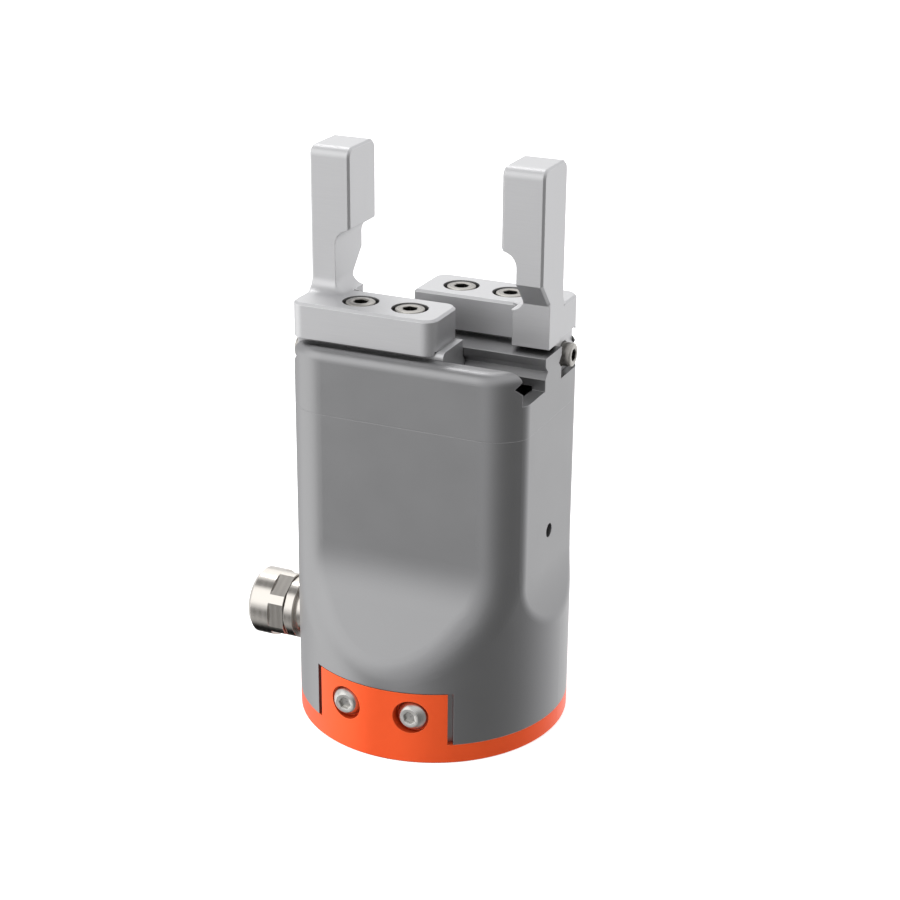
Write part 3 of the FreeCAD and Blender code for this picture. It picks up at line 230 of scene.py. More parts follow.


# Grey anodised aluminium, bead blasted: an even satin with a fine grain, edges painted lighter as highlight
# and wear, and painted shade in narrow gaps.
# The real grain of 0.05 mm is too fine to show, so it is drawn at 0.3 mm

def blasted_aluminium(colour, edge_mm):
    material, tree, shader, place = start_material("grey_anodised_blasted_aluminium", colour, 1.0, 0.4)
    fine = add_node(tree, "ShaderNodeTexNoise", inputs={
        "Vector": place, "Scale": grains(0.3), "Detail": 2.0})
    cloudy = add_node(tree, "ShaderNodeTexNoise", inputs={"Vector": place, "Scale": grains(9.0)})
    vary(tree, shader, cloudy.outputs["Fac"], toned(colour, 0.97), toned(colour, 1.03), 0.38, 0.44)
    painted_gap_shade(tree, shader, 0.4, toned(colour, 0.2), 0.4)
    broken_edges(tree, shader, edge_mm, toned(colour, 1.3), fine.outputs["Fac"], 0.01)
    return material


# Clear anodised aluminium, fine milled along the jaw travel: pale, with faint straight tool lines.
# The real lines are 0.05 mm apart and are drawn at 0.25 mm

def milled_aluminium(colour, edge_mm):
    material, tree, shader, place = start_material("clear_anodised_milled_aluminium", colour, 1.0, 0.52)
    along = add_node(tree, "ShaderNodeMapping", inputs={"Vector": place, "Scale": (0.04, 1.0, 1.0)})
    lines = add_node(tree, "ShaderNodeTexNoise", inputs={
        "Vector": along.outputs["Vector"], "Scale": grains(0.25), "Detail": 1.0})
    vary(tree, shader, lines.outputs["Fac"], toned(colour, 0.96), toned(colour, 1.03), 0.48, 0.56)
    # Painted shade, near black, in the gaps around and under the jaws
    painted_gap_shade(tree, shader, 2.0, toned(colour, 0.06))
    broken_edges(tree, shader, edge_mm, toned(colour, 1.25), lines.outputs["Fac"], 0.002)
    return material


# Orange anodised aluminium, satin: a clear strong colour over metal, edges painted a little lighter as
# highlight and wear, and painted shade in gaps

def orange_anodised(colour, edge_mm):
    material, tree, shader, place = start_material("orange_anodised_aluminium", colour, 0.62, 0.4)
    fine = add_node(tree, "ShaderNodeTexNoise", inputs={
        "Vector": place, "Scale": grains(0.35), "Detail": 2.0})
    cloudy = add_node(tree, "ShaderNodeTexNoise", inputs={"Vector": place, "Scale": grains(8.0)})
    vary(tree, shader, cloudy.outputs["Fac"], toned(colour, 0.95), toned(colour, 1.0), 0.36, 0.44)
    painted_gap_shade(tree, shader, 0.8, toned(colour, 0.3), 0.6)
    broken_edges(tree, shader, edge_mm, linear("#FF7A48"), fine.outputs["Fac"], 0.006)
    return material


# Turned steel of a screw head: rings around its own axis from the lathe, a painted highlight with some wear
# at the rim, and painted shade in the key socket. The real rings are 0.03 mm apart and are drawn at 0.2 mm.
# The attributes screw_place and recess come with the screws' meshes

def turned_screw_steel(name, colour, socket_shade_share):
    material, tree, shader, place = start_material(name, colour, 1.0, 0.3)
    own = add_node(tree, "ShaderNodeAttribute", {"attribute_name": "screw_place"})
    rings = add_node(tree, "ShaderNodeTexWave", {"wave_type": "RINGS", "rings_direction": "Z"}, {
        "Vector": own.outputs["Vector"], "Scale": bands(0.2), "Distortion": 0.4})
    vary(tree, shader, rings.outputs["Fac"], toned(colour, 0.93), colour, 0.26, 0.36)
    # The key socket is painted darker: painted shade in the recess
    recess = add_node(tree, "ShaderNodeAttribute", {"attribute_name": "recess"})
    key = add_node(tree, "ShaderNodeMix", {"data_type": "RGBA"}, {
        0: recess.outputs["Fac"], 6: shader.inputs["Base Color"].links[0].from_socket,
        7: toned(colour, socket_shade_share)})
    tree.links.new(key.outputs[2], shader.inputs["Base Color"])
    broken_edges(tree, shader, 0.12, toned(colour, 1.35), rings.outputs["Fac"], 0.002)
    return material


# Nickel plated brass, turned about X: warm bright metal with fine rings.
# The real rings are 0.05 mm apart and are drawn at 0.25 mm

def nickel_plate():
    colour = linear("#DFDAD3")
    material, tree, shader, place = start_material("nickel_plated_brass", colour, 1.0, 0.2)
    rings = add_node(tree, "ShaderNodeTexWave", {"wave_type": "BANDS", "bands_direction": "X"}, {
        "Vector": place, "Scale": bands(0.25), "Distortion": 0.6})
    vary(tree, shader, rings.outputs["Fac"], toned(colour, 0.985), colour, 0.19, 0.22)
    painted_gap_shade(tree, shader, 2.0, linear("#3A2A24"), 0.8)
    broken_edges(tree, shader, 0.1, linear("#F0ECE6"), rings.outputs["Fac"], 0.0002)
    return material


# Silicone rubber, moulded: soft dark red with a matt skin

def red_silicone():
    colour = linear("#7C2B20")
    material, tree, shader, place = start_material("red_silicone_rubber", colour, 0.0, 0.6)
    skin = add_node(tree, "ShaderNodeTexNoise", inputs={
        "Vector": place, "Scale": grains(0.3), "Detail": 2.0})
    vary(tree, shader, skin.outputs["Fac"], toned(colour, 0.85), colour, 0.52, 0.66)
    broken_edges(tree, shader, 0.1, linear("#943A2C"), skin.outputs["Fac"], 0.01)
    return material


# Glass filled nylon, moulded: near black, faintly mottled

def black_nylon():
    colour = linear("#191A1C")
    material, tree, shader, place = start_material("black_moulded_nylon", colour, 0.0, 0.45)
    mottle = add_node(tree, "ShaderNodeTexNoise", inputs={
        "Vector": place, "Scale": grains(0.5), "Detail": 2.0})
    vary(tree, shader, mottle.outputs["Fac"], colour, linear("#232427"), 0.4, 0.52)
    broken_edges(tree, shader, 0.1, linear("#333438"), mottle.outputs["Fac"], 0.01)
    return material


# Gold plate over brass on the contacts: warm and smooth

def gold_plate():
    colour = linear("#E8BE62")
    material, tree, shader, place = start_material("gold_plated_contact", colour, 1.0, 0.2)
    haze = add_node(tree, "ShaderNodeTexNoise", inputs={"Vector": place, "Scale": grains(0.6)})
    vary(tree, shader, haze.outputs["Fac"], toned(colour, 0.9), colour, 0.15, 0.28)
    return material


# Gear and shaft steel, hardened and ground: cool grey with a light oil film

def ground_steel():
    colour = linear("#9C9EA2")
    material, tree, shader, place = start_material("hardened_ground_steel", colour, 1.0, 0.28)
    haze = add_node(tree, "ShaderNodeTexNoise", inputs={"Vector": place, "Scale": grains(2.5)})
    vary(tree, shader, haze.outputs["Fac"], toned(colour, 0.82), colour, 0.2, 0.36)
    broken_edges(tree, shader, 0.08, linear("#C9CBCE"))
    return material


# Bearing steel, polished: bright with a faint lapped haze

def bearing_steel():
    colour = linear("#BFC1C4")
    material, tree, shader, place = start_material("polished_bearing_steel", colour, 1.0, 0.14)
    haze = add_node(tree, "ShaderNodeTexNoise", inputs={"Vector": place, "Scale": grains(1.2)})
    vary(tree, shader, haze.outputs["Fac"], toned(colour, 0.92), colour, 0.1, 0.2)
    broken_edges(tree, shader, 0.1, linear("#E2E3E5"))
    return material


# Motor and gearbox cases, turned about Z: mid grey steel with rings 0.4 mm apart

def turned_case_steel():
    colour = linear("#7E8185")
    material, tree, shader, place = start_material("turned_case_steel", colour, 1.0, 0.35)
    rings = add_node(tree, "ShaderNodeTexWave", {"wave_type": "BANDS", "bands_direction": "Z"}, {
        "Vector": place, "Scale": bands(0.4), "Distortion": 0.3})
    vary(tree, shader, rings.outputs["Fac"], toned(colour, 0.88), colour, 0.28, 0.42)
    broken_edges(tree, shader, 0.15, linear("#A9ACB0"), rings.outputs["Fac"], 0.004)
    return material


# Stacked silicon steel sheets, 0.35 mm each: dark with thin straight lines around the stack

def stacked_sheets():
    colour = linear("#4A4B4F")
    material, tree, shader, place = start_material("stacked_silicon_steel", colour, 1.0, 0.45)
    sheets = add_node(tree, "ShaderNodeTexWave", {"wave_type": "BANDS", "bands_direction": "Z"}, {
        "Vector": place, "Scale": bands(0.35)})
    vary(tree, shader, sheets.outputs["Fac"], linear("#2E2F32"), colour, 0.4, 0.5)
    broken_edges(tree, shader, 0.1, linear("#6A6B70"), sheets.outputs["Fac"], 0.02)
    return material


# Enamelled copper wire, wound: reddish bands 0.5 mm apart that shine along the wire

def enamelled_copper():
    colour = linear("#B5642F")
    material, tree, shader, place = start_material("enamelled_copper_wire", colour, 0.8, 0.3)
    wires = add_node(tree, "ShaderNodeTexWave", {"wave_type": "BANDS", "bands_direction": "DIAGONAL"}, {
        "Vector": place, "Scale": bands(0.5)})
    vary(tree, shader, wires.outputs["Fac"], linear("#6B3413"), colour, 0.26, 0.36)
    broken_edges(tree, shader, 0.3, linear("#C9814A"), wires.outputs["Fac"], 0.08)
    return material


# Nickel plated neodymium: smooth pale metal, a little yellow

def plated_magnet():
    colour = linear("#A9A69E")
    material, tree, shader, place = start_material("nickel_plated_magnet", colour, 1.0, 0.22)
    haze = add_node(tree, "ShaderNodeTexNoise", inputs={"Vector": place, "Scale": grains(1.8)})
    vary(tree, shader, haze.outputs["Fac"], toned(colour, 0.88), colour, 0.18, 0.3)
    broken_edges(tree, shader, 0.2, linear("#CFCCC4"))
    return material


# Glass epoxy board under green solder mask: glossy, with raised tracks that show through in a paler green

def solder_mask():
    colour = linear("#0F4A2A")
    material, tree, shader, place = start_material("green_solder_mask", colour, 0.0, 0.25)
    nets = add_node(tree, "ShaderNodeTexVoronoi", {"feature": "DISTANCE_TO_EDGE"}, {
        "Vector": place, "Scale": grains(2.2)})
    tracks = add_node(tree, "ShaderNodeMapRange", inputs={
        "Value": nets.outputs["Distance"], "From Min": 0.06, "From Max": 0.1, "To Min": 1.0, "To Max": 0.0})
    vary(tree, shader, tracks.outputs["Result"], colour, linear("#1F6B3E"), 0.2, 0.3)
    broken_edges(tree, shader, 0.05, linear("#7A8F6A"), tracks.outputs["Result"], 0.03)
    shader.inputs["Coat Weight"].default_value = 0.6
    return material


# Moulded epoxy of chips and sockets: dark grey, matt, fine grain

def chip_epoxy():
    colour = linear("#1C1D20")
    material, tree, shader, place = start_material("moulded_chip_epoxy", colour, 0.0, 0.6)
    fine = add_node(tree, "ShaderNodeTexNoise", inputs={
        "Vector": place, "Scale": grains(0.3), "Detail": 2.0})
    vary(tree, shader, fine.outputs["Fac"], colour, linear("#2A2B2F"), 0.52, 0.68)
    broken_edges(tree, shader, 0.12, linear("#3C3D42"), fine.outputs["Fac"], 0.01)
    return material


# Matt white table lacquer of the stage, lit from below as a light table is: even, with a very faint texture

def table_lacquer(colour):
    material, tree, shader, place = start_material("white_table_lacquer", colour, 0.0, 0.7)
    soft = add_node(tree, "ShaderNodeTexNoise", inputs={"Vector": place, "Scale": grains(40.0)})
    vary(tree, shader, soft.outputs["Fac"], toned(colour, 0.995), colour, 0.66, 0.74)
    shader.inputs["Specular IOR Level"].default_value = 0.1
    shader.inputs["Emission Color"].default_value = colour
    shader.inputs["Emission Strength"].default_value = 0.6
    return material


# Gives CAD nodes a finish through their own material slots

def finish_nodes(material, *nodes):
    for name in nodes:
        for material_slot in bpy.data.objects[name].material_slots:
            material_slot.material = material


def add_piece(name, mesh, body):
    piece = bpy.data.objects.new(name, mesh)
    bpy.context.scene.collection.objects.link(piece)
    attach(piece, body)
    return piece


def join_rows(form, rows):
    for low, high in zip(rows, rows[1:]):
        for k in range(len(low)):
            after = (k + 1) % len(low)
            form.faces.new((low[k], low[after], high[after], high[k]))


def mesh_from(form, name, sharp_degrees=None):
    mesh = bpy.data.meshes.new(name)
    form.to_mesh(mesh)
    form.free()
    if sharp_degrees is not None:
        mesh.shade_smooth()
        mesh.set_sharp_from_angle(angle=math.radians(sharp_degrees))
    return mesh


# How far a ring's edge is from its middle. The size of a round ring is its radius, and that of
# a hexagonal one is its width across flats

def ring_radius(shape, size, angle):
    if shape == "round":
        return size
    return size / 2 / math.cos(angle % (math.pi / 3) - math.pi / 6)


# Small part about the Z axis from rings of (shape, size, z), closed by a point in the first ring and
# by one that stands out of the last ring by the tip

def stacked_rings(name, rings, tip, segments=48):
    form = bmesh.new()
    angles = [2 * math.pi * k / segments for k in range(segments)]
    rows = []
    for shape, size, z in rings:
        radii = [ring_radius(shape, size, angle) for angle in angles]
        rows.append([form.verts.new((r * math.cos(a) * MM, r * math.sin(a) * MM, z * MM))
                     for r, a in zip(radii, angles)])
    first_z, last_z = rings[0][2], rings[-1][2]
    first = form.verts.new((0, 0, first_z * MM))
    last = form.verts.new((0, 0, (last_z + tip) * MM))
    join_rows(form, rows)
    for k in range(segments):
        after = (k + 1) % segments
        form.faces.new((first, rows[0][after], rows[0][k]))
        form.faces.new((last, rows[-1][k], rows[-1][after]))
    bmesh.ops.recalc_face_normals(form, faces=form.faces)
    mesh = mesh_from(form, name, 32)
    own = mesh.attributes.new("screw_place", "FLOAT_VECTOR", "POINT")
    own.data.foreach_set("vector", [value for vertex in mesh.vertices for value in vertex.co])
    inside = {"round": 0.0, "hex": 1.0}
    shares = [inside[shape] for shape, size, z in rings for k in range(segments)]
    shares += [inside[rings[0][0]], inside[rings[-1][0]]]
    recess = mesh.attributes.new("recess", "FLOAT", "POINT")
    recess.data.foreach_set("value", shares)
    return mesh


def shank_rings(shank_r, length, head_r):
    return [("round", shank_r - SHANK_POINT, -length), ("round", shank_r, SHANK_POINT - length),
            ("round", shank_r, 0), ("round", head_r - SEAT_EDGE, 0), ("round", head_r, SEAT_EDGE)]


# Key socket with a countersunk edge. The edge lies just outside the corners of the hexagon

def socket_rings(key_w, top_z, depth):
    edge_r = 0.61 * key_w
    return [("round", edge_r, top_z), ("hex", key_w, top_z - KEY_EDGE), ("hex", key_w, top_z - depth)]


def cap_screw_rings(shank_r, length, head_r, head_h, key_w, key_depth):
    bulge = 0.3 * CAP_EDGE
    head = [("round", head_r, head_h - CAP_EDGE), ("round", head_r - bulge, head_h - bulge),
            ("round", head_r - CAP_EDGE, head_h)]
    return shank_rings(shank_r, length, head_r) + head + socket_rings(key_w, head_h, key_depth)


# The dome of a button head is a slice of a ball between its upright rim and its flat top

def button_screw_rings(shank_r, length, head_r, head_h, key_w, key_depth, steps=7):
    centre = (TAB_FLAT_R ** 2 + head_h ** 2 - head_r ** 2 - TAB_RIM_H ** 2) / (2 * (head_h - TAB_RIM_H))
    ball = math.hypot(head_r, TAB_RIM_H - centre)
    dome = []
    for k in range(steps + 1):
        radius = head_r + (TAB_FLAT_R - head_r) * k / steps
        dome.append(("round", radius, centre + math.sqrt(ball ** 2 - radius ** 2)))
    return shank_rings(shank_r, length, head_r) + dome + socket_rings(key_w, head_h, key_depth)


# Radius of a turned part at an angle: wrench flats cut into it, or the groove of a socket thread

def turned_radius(cut, radius, reach, angle):
    if cut == "flats":
        from_flat = (angle + math.pi / 6) % (math.pi / 3) - math.pi / 6
        return min(radius, FLATS_W / 2 / math.cos(from_flat))
    if cut == "thread":
        turn = (reach / THREAD_PITCH + angle / (2 * math.pi)) % 1.0
        return radius + THREAD_DEPTH * (1 - abs(2 * turn - 1))
    return radius


# Turns a closed profile of (cut, radius, reach) about the connector's axis. Some of the angles lie on
# the edges of the flats

def turned_about_x(name, profile, flat_steps=8, band_steps=3, merge_mm=0.002):
    half = math.acos(FLATS_W / 2 / BARREL_R)
    angles = []
    for flat in range(6):
        middle = math.radians(60 * flat)
        angles += [middle + half * (2 * k / flat_steps - 1) for k in range(flat_steps)]
        angles += [middle + half + (math.pi / 3 - 2 * half) * k / band_steps for k in range(band_steps)]
    form = bmesh.new()
    rows = []
    for cut, radius, reach in profile:
        radii = [turned_radius(cut, radius, reach, angle) for angle in angles]
        rows.append([form.verts.new((-reach * MM, -r * math.cos(a) * MM,
                                     (CONNECTOR_Z + r * math.sin(a)) * MM))
                     for r, a in zip(radii, angles)])
    join_rows(form, rows + rows[:1])
    bmesh.ops.remove_doubles(form, verts=form.verts, dist=merge_mm * MM)
    bmesh.ops.recalc_face_normals(form, faces=form.faces)
    return mesh_from(form, name, 14)


def barrel_profile(lead_in=0.5, thread_start=0.8, run_out=1.0, rim_edge=0.1, fit=0.05, steps=8):
    turns = int((BARREL_REACH - SOCKET_FLOOR - run_out) / THREAD_PITCH)
    thread = [("thread", SOCKET_R, BARREL_REACH - thread_start - THREAD_PITCH * k / steps)
              for k in range(steps * turns + 1)]
    outside = [("flats", BARREL_R, FLATS_START), ("flats", BARREL_R, FLATS_END),
               ("round", BARREL_R, FLATS_END), ("round", BARREL_R, BARREL_REACH - BARREL_RIM),
               ("round", BARREL_R - BARREL_RIM + rim_edge, BARREL_REACH - rim_edge),
               ("round", BARREL_R - BARREL_RIM, BARREL_REACH)]
    mouth = [("round", SOCKET_R + lead_in, BARREL_REACH), ("round", SOCKET_R, BARREL_REACH - lead_in)]
    floor = [("round", SOCKET_R, SOCKET_FLOOR), ("round", NECK_R + fit, SOCKET_FLOOR),
             ("round", NECK_R + fit, FLATS_START)]
    return outside + mouth + thread + floor


def shell_profile(rim=0.08):
    return [("round", NECK_BORE_R, NECK_END), ("round", NECK_R, NECK_END), ("round", NECK_R, SLEEVE_END),
            ("round", SLEEVE_R, SLEEVE_END), ("round", SLEEVE_R, COLLAR_START),
            ("round", COLLAR_R - rim, COLLAR_START), ("round", COLLAR_R, COLLAR_START + rim),
            ("round", COLLAR_R, COLLAR_END - rim), ("round", COLLAR_R - rim, COLLAR_END),
            ("round", NECK_R, COLLAR_END), ("round", NECK_R, SOCKET_FLOOR),
            ("round", NECK_BORE_R, SOCKET_FLOOR)]


# The gasket lies between the collar and the barrel, and swells a little outwards

def gasket_profile(fit=0.1, inset=0.45, swell=0.05):
    middle = (COLLAR_END + FLATS_START) / 2
    return [("round", NECK_R + fit, COLLAR_END), ("round", COLLAR_R - inset, COLLAR_END),
            ("round", COLLAR_R - inset + swell, middle), ("round", COLLAR_R - inset, FLATS_START),
            ("round", NECK_R + fit, FLATS_START)]


def contact_rings(nose_h=0.4, shoulder_r=0.36, shoulder_h=0.12, end_r=0.15):
    return [("round", CONTACT_R, -CONTACT_LENGTH), ("round", CONTACT_R, -nose_h),
            ("round", shoulder_r, -shoulder_h), ("round", end_r, 0)]


# Geometry Nodes tree that sets a pattern piece on each point of a mesh, turns it about its own axis
# by chance up to the key turn, and gives it a finish

def scatter_tree(name):
    tree = bpy.data.node_groups.new(name, "GeometryNodeTree")
    sockets = (("Spots", "INPUT", "NodeSocketGeometry"), ("Pattern", "INPUT", "NodeSocketObject"),
               ("Tilt", "INPUT", "NodeSocketRotation"), ("Key turn", "INPUT", "NodeSocketFloat"),
               ("Seed", "INPUT", "NodeSocketInt"), ("Finish", "INPUT", "NodeSocketMaterial"),
               ("Pieces", "OUTPUT", "NodeSocketGeometry"))
    for socket, direction, kind in sockets:
        tree.interface.new_socket(name=socket, in_out=direction, socket_type=kind)
    given = add_node(tree, "NodeGroupInput").outputs
    turn = add_node(tree, "FunctionNodeRandomValue", {"data_type": "FLOAT"}, {
        2: 0.0, 3: given["Key turn"], "Seed": given["Seed"]})
    spin = add_node(tree, "ShaderNodeCombineXYZ", inputs={"Z": turn.outputs[1]})
    spin_rotation = add_node(tree, "FunctionNodeEulerToRotation", inputs={"Euler": spin.outputs["Vector"]})
    facing = add_node(tree, "FunctionNodeRotateRotation", {"rotation_space": "LOCAL"}, {
        "Rotation": given["Tilt"], "Rotate By": spin_rotation.outputs["Rotation"]})
    pattern = add_node(tree, "GeometryNodeObjectInfo", inputs={
        "Object": given["Pattern"], "As Instance": True})
    points = add_node(tree, "GeometryNodeMeshToPoints", inputs={"Mesh": given["Spots"]})
    placed = add_node(tree, "GeometryNodeInstanceOnPoints", inputs={
        "Points": points.outputs["Points"], "Instance": pattern.outputs["Geometry"],
        "Rotation": facing.outputs["Rotation"]})
    solid = add_node(tree, "GeometryNodeRealizeInstances", inputs={"Geometry": placed.outputs["Instances"]})
    dressed = add_node(tree, "GeometryNodeSetMaterial", inputs={
        "Geometry": solid.outputs["Geometry"], "Material": given["Finish"]})
    add_node(tree, "NodeGroupOutput", inputs={"Pieces": dressed.outputs["Geometry"]})
    return tree


# Runs a tree on a mesh and keeps the result as a plain mesh with no modifier

def grown_mesh(name, tree, start_mesh, values):
    carrier = bpy.data.objects.new(name + "_carrier", start_mesh)
    bpy.context.scene.collection.objects.link(carrier)
    modifier = carrier.modifiers.new("Grow", "NODES")
    modifier.node_group = tree
    for item in tree.interface.items_tree:
        if item.in_out == "INPUT" and item.name in values:
            modifier[item.identifier] = values[item.name]
    bpy.context.view_layer.update()
    ready = carrier.evaluated_get(bpy.context.evaluated_depsgraph_get())
    mesh = bpy.data.meshes.new_from_object(ready)
    mesh.name = name
    bpy.data.objects.remove(carrier)
    if len(mesh.polygons) == 0:
        raise RuntimeError(name + " came out empty")
    return mesh


def spots_mesh(name, spots):
    mesh = bpy.data.meshes.new(name)
    mesh.from_pydata([[value * MM for value in spot] for spot in spots], [], [])
    return mesh


# A set of like parts, one on each spot, tilted by degrees about X, Y and Z

def screw_set(name, rings, tip, spots, tilt, seed, finish):
    pattern = bpy.data.objects.new(name + "_pattern", stacked_rings(name + "_one", rings, tip))
    tree = scatter_tree(name + "_tree")
    mesh = grown_mesh(name, tree, spots_mesh(name + "_spots", spots), {
        "Pattern": pattern, "Tilt": [math.radians(angle) for angle in tilt],
        "Key turn": math.radians(60), "Seed": seed, "Finish": finish})
    bpy.data.objects.remove(pattern)
    return mesh


# One mesh of several. Materials and attributes are those of the first

def joined(name, meshes):
    form = bmesh.new()
    for mesh in meshes:
        form.from_mesh(mesh)
    whole = meshes[0].copy()
    form.to_mesh(whole)
    form.free()
    whole.name = name
    return whole


# Sizes and colours that a user would change

class GripperFinish(PropertyGroup):
    body_colour: FloatVectorProperty(
        name="Body", description="Grey of the anodised body", subtype="COLOR", size=4, min=0, max=1,
        default=linear("#A2A2A3"))
    base_colour: FloatVectorProperty(
        name="Base", description="Orange of the anodised mounting base", subtype="COLOR",
        size=4, min=0, max=1, default=linear("#FF5F2A"))
    jaw_colour: FloatVectorProperty(
        name="Jaws", description="Pale tone of the milled jaws", subtype="COLOR", size=4, min=0, max=1,
        default=linear("#DADADB"))
    edge_break: FloatProperty(
        name="Edge break", description="Radius of the deburred edges", subtype="DISTANCE", unit="LENGTH",
        default=0.2 * MM, min=0.02 * MM, max=0.5 * MM, precision=5)


class ScrewSizes(PropertyGroup):
    tab_head_r: FloatProperty(
        name="Tab head radius", description="Radius of the button heads on the tabs", subtype="DISTANCE",
        unit="LENGTH", default=3.55 * MM, min=2.5 * MM, max=3.7 * MM, precision=5)
    tab_head_h: FloatProperty(
        name="Tab head height", description="Height of the button heads on the tabs", subtype="DISTANCE",
        unit="LENGTH", default=2.4 * MM, min=1.8 * MM, max=2.6 * MM, precision=5)
    jaw_head_r: FloatProperty(
        name="Jaw head radius", description="Radius of the cap heads in the jaws", subtype="DISTANCE",
        unit="LENGTH", default=3.35 * MM, min=3.0 * MM, max=3.7 * MM, precision=5)
    jaw_head_h: FloatProperty(
        name="Jaw head height", description="Height of the cap heads in the jaws", subtype="DISTANCE",
        unit="LENGTH", default=4.0 * MM, min=3.0 * MM, max=4.2 * MM, precision=5)
    seed: IntProperty(
        name="Key seed", description="Seed for how far each key socket is turned", default=4, min=2)


class StageLight(PropertyGroup):
    table_colour: FloatVectorProperty(
        name="Table", description="Colour of the table under the part", subtype="COLOR",
        size=4, min=0, max=1, default=linear("#FBFBFB"))
    key_power: FloatProperty(
        name="Key light power", description="Strength of the large softbox at the front left",
        subtype="POWER", unit="POWER", default=15.0, min=0.0)
    edge_power: FloatProperty(
        name="Edge light power", description="Strength of the small softbox that upper edges mirror",
        subtype="POWER", unit="POWER", default=0.7, min=0.0)
    sky_strength: FloatProperty(
        name="Studio strength", description="Strength of the light from all around", subtype="FACTOR",
        default=1.62, min=0.0, max=4.0)


class GRIPPER_OT_body(Operator):
    """Finish the lower housing and the guide head as grey blasted aluminium"""
    bl_idname = "gripper.body"
    bl_label = "Body"

    def execute(self, context):
        finish = context.scene.gripper_finish
        metal = blasted_aluminium(finish.body_colour, finish.edge_break / MM)
        finish_nodes(metal, "lower_housing", "head_block")
        return {"FINISHED"}


class GRIPPER_OT_base(Operator):
    """Finish the mounting base with its two screw tabs in orange"""
    bl_idname = "gripper.base"
    bl_label = "Mounting base"

    def execute(self, context):
        finish = context.scene.gripper_finish
        finish_nodes(orange_anodised(finish.base_colour, finish.edge_break / MM), "mounting_base")
        return {"FINISHED"}


class GRIPPER_OT_jaws(Operator):
    """Finish the fingers and the sliders as pale milled aluminium"""
    bl_idname = "gripper.jaws"
    bl_label = "Jaws and sliders"

    def execute(self, context):
        finish = context.scene.gripper_finish
        metal = milled_aluminium(finish.jaw_colour, finish.edge_break / MM)
        finish_nodes(metal, "front_finger", "rear_finger", "front_slider", "rear_slider")
        return {"FINISHED"}


class GRIPPER_OT_tab_screws(Operator):
    """Make the four button head screws of the base tabs"""
    bl_idname = "gripper.tab_screws"
    bl_label = "Tab screws"

    def execute(self, context):
        sizes = context.scene.gripper_screws
        head_r = sizes.tab_head_r / MM
        head_h = sizes.tab_head_h / MM
        rings = button_screw_rings(M4_SHANK_R, TAB_SCREW_LENGTH, head_r, head_h, TAB_KEY_W, TAB_KEY_DEPTH)
        steel = turned_screw_steel("stainless_screw_steel", linear("#D8D6D2"), 0.9)
        sides = []
        for side, tilt in ((-1, (90, 0, 0)), (1, (-90, 0, 0))):
            spots = [(x, side * TAB_SCREW_SEAT_Y, TAB_SCREW_Z) for x in (-TAB_SCREW_X, TAB_SCREW_X)]
            sides.append(screw_set("tab_heads", rings, -TAB_DRILL_TIP, spots, tilt,
                                   sizes.seed + side, steel))
        piece = add_piece("tab_screw_set", joined("tab_screw_set", sides), "base")
        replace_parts(piece, "tab_screws")
        return {"FINISHED"}


class GRIPPER_OT_jaw_screws(Operator):
    """Make the cap screws that hold the fingers, and the screw in the end of each slider"""
    bl_idname = "gripper.jaw_screws"
    bl_label = "Jaw screws"

    def execute(self, context):
        sizes = context.scene.gripper_screws
        steel = turned_screw_steel("hardened_screw_steel", linear("#B4B1AC"), 0.3)
        cap_rings = cap_screw_rings(M4_SHANK_R, JAW_SCREW_LENGTH, sizes.jaw_head_r / MM,
                                    sizes.jaw_head_h / MM, JAW_KEY_W, JAW_KEY_DEPTH)
        end_rings = cap_screw_rings(M3_SHANK_R, END_SCREW_LENGTH, END_HEAD_R, END_HEAD_H,
                                    END_KEY_W, END_KEY_DEPTH)
        for side, sign, tilt in (("front", -1, (0, -90, 0)), ("rear", 1, (0, 90, 0))):
            spots = [(sign * x, sign * JAW_SCREW_Y, JAW_SCREW_SEAT_Z) for x in JAW_SCREW_XS]
            caps = screw_set(side + "_caps", cap_rings, -JAW_DRILL_TIP, spots, (0, 0, 0),
                             sizes.seed + sign, steel)
            piece = add_piece(side + "_jaw_screw_set", caps, side + "_jaw")
            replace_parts(piece, side + "_jaw_screws")
            spots = [(sign * END_SCREW_SEAT_X, sign * JAW_SCREW_Y, END_SCREW_Z)]
            end = screw_set(side + "_end", end_rings, -END_DRILL_TIP, spots, tilt, sizes.seed, steel)
            piece = add_piece(side + "_end_screw_piece", end, side + "_jaw")
            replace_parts(piece, side + "_end_screw")
        return {"FINISHED"}


class GRIPPER_OT_connector(Operator):
    """Make the connector: nickel plated barrel and shell, rubber gasket, black insert and gold contacts"""
    bl_idname = "gripper.connector"
    bl_label = "Connector"

    def execute(self, context):
        plate = nickel_plate()
        finish_nodes(plate, "connector_nut")
        finish_nodes(black_nylon(), "connector_insert")
        turned = (("connector_barrel", barrel_profile(), plate, "nickel_brass"),
                  ("connector_shell", shell_profile(), plate, "nickel_brass"),
                  ("connector_gasket", gasket_profile(), red_silicone(), "red_rubber"))
        for node, profile, finish, slot_name in turned:
            mesh = turned_about_x(node + "_turned", profile)
            mesh.materials.append(finish)
            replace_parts(add_piece(node + "_turned", mesh, "base"), node)
        angles = [2 * math.pi * k / CONTACTS_IN_RING for k in range(CONTACTS_IN_RING)]
        spots = [(CONTACT_TIP_X, CONTACT_RING_R * math.cos(angle),
                  CONNECTOR_Z + CONTACT_RING_R * math.sin(angle)) for angle in angles]
        spots.append((CONTACT_TIP_X, 0, CONNECTOR_Z))
        contacts = screw_set("contacts", contact_rings(), CONTACT_TIP_H, spots, (0, -90, 0), CONTACT_SEED,
                             gold_plate())
        piece = add_piece("contact_pin_set", contacts, "base")
        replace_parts(piece, "connector_pins")
        return {"FINISHED"}


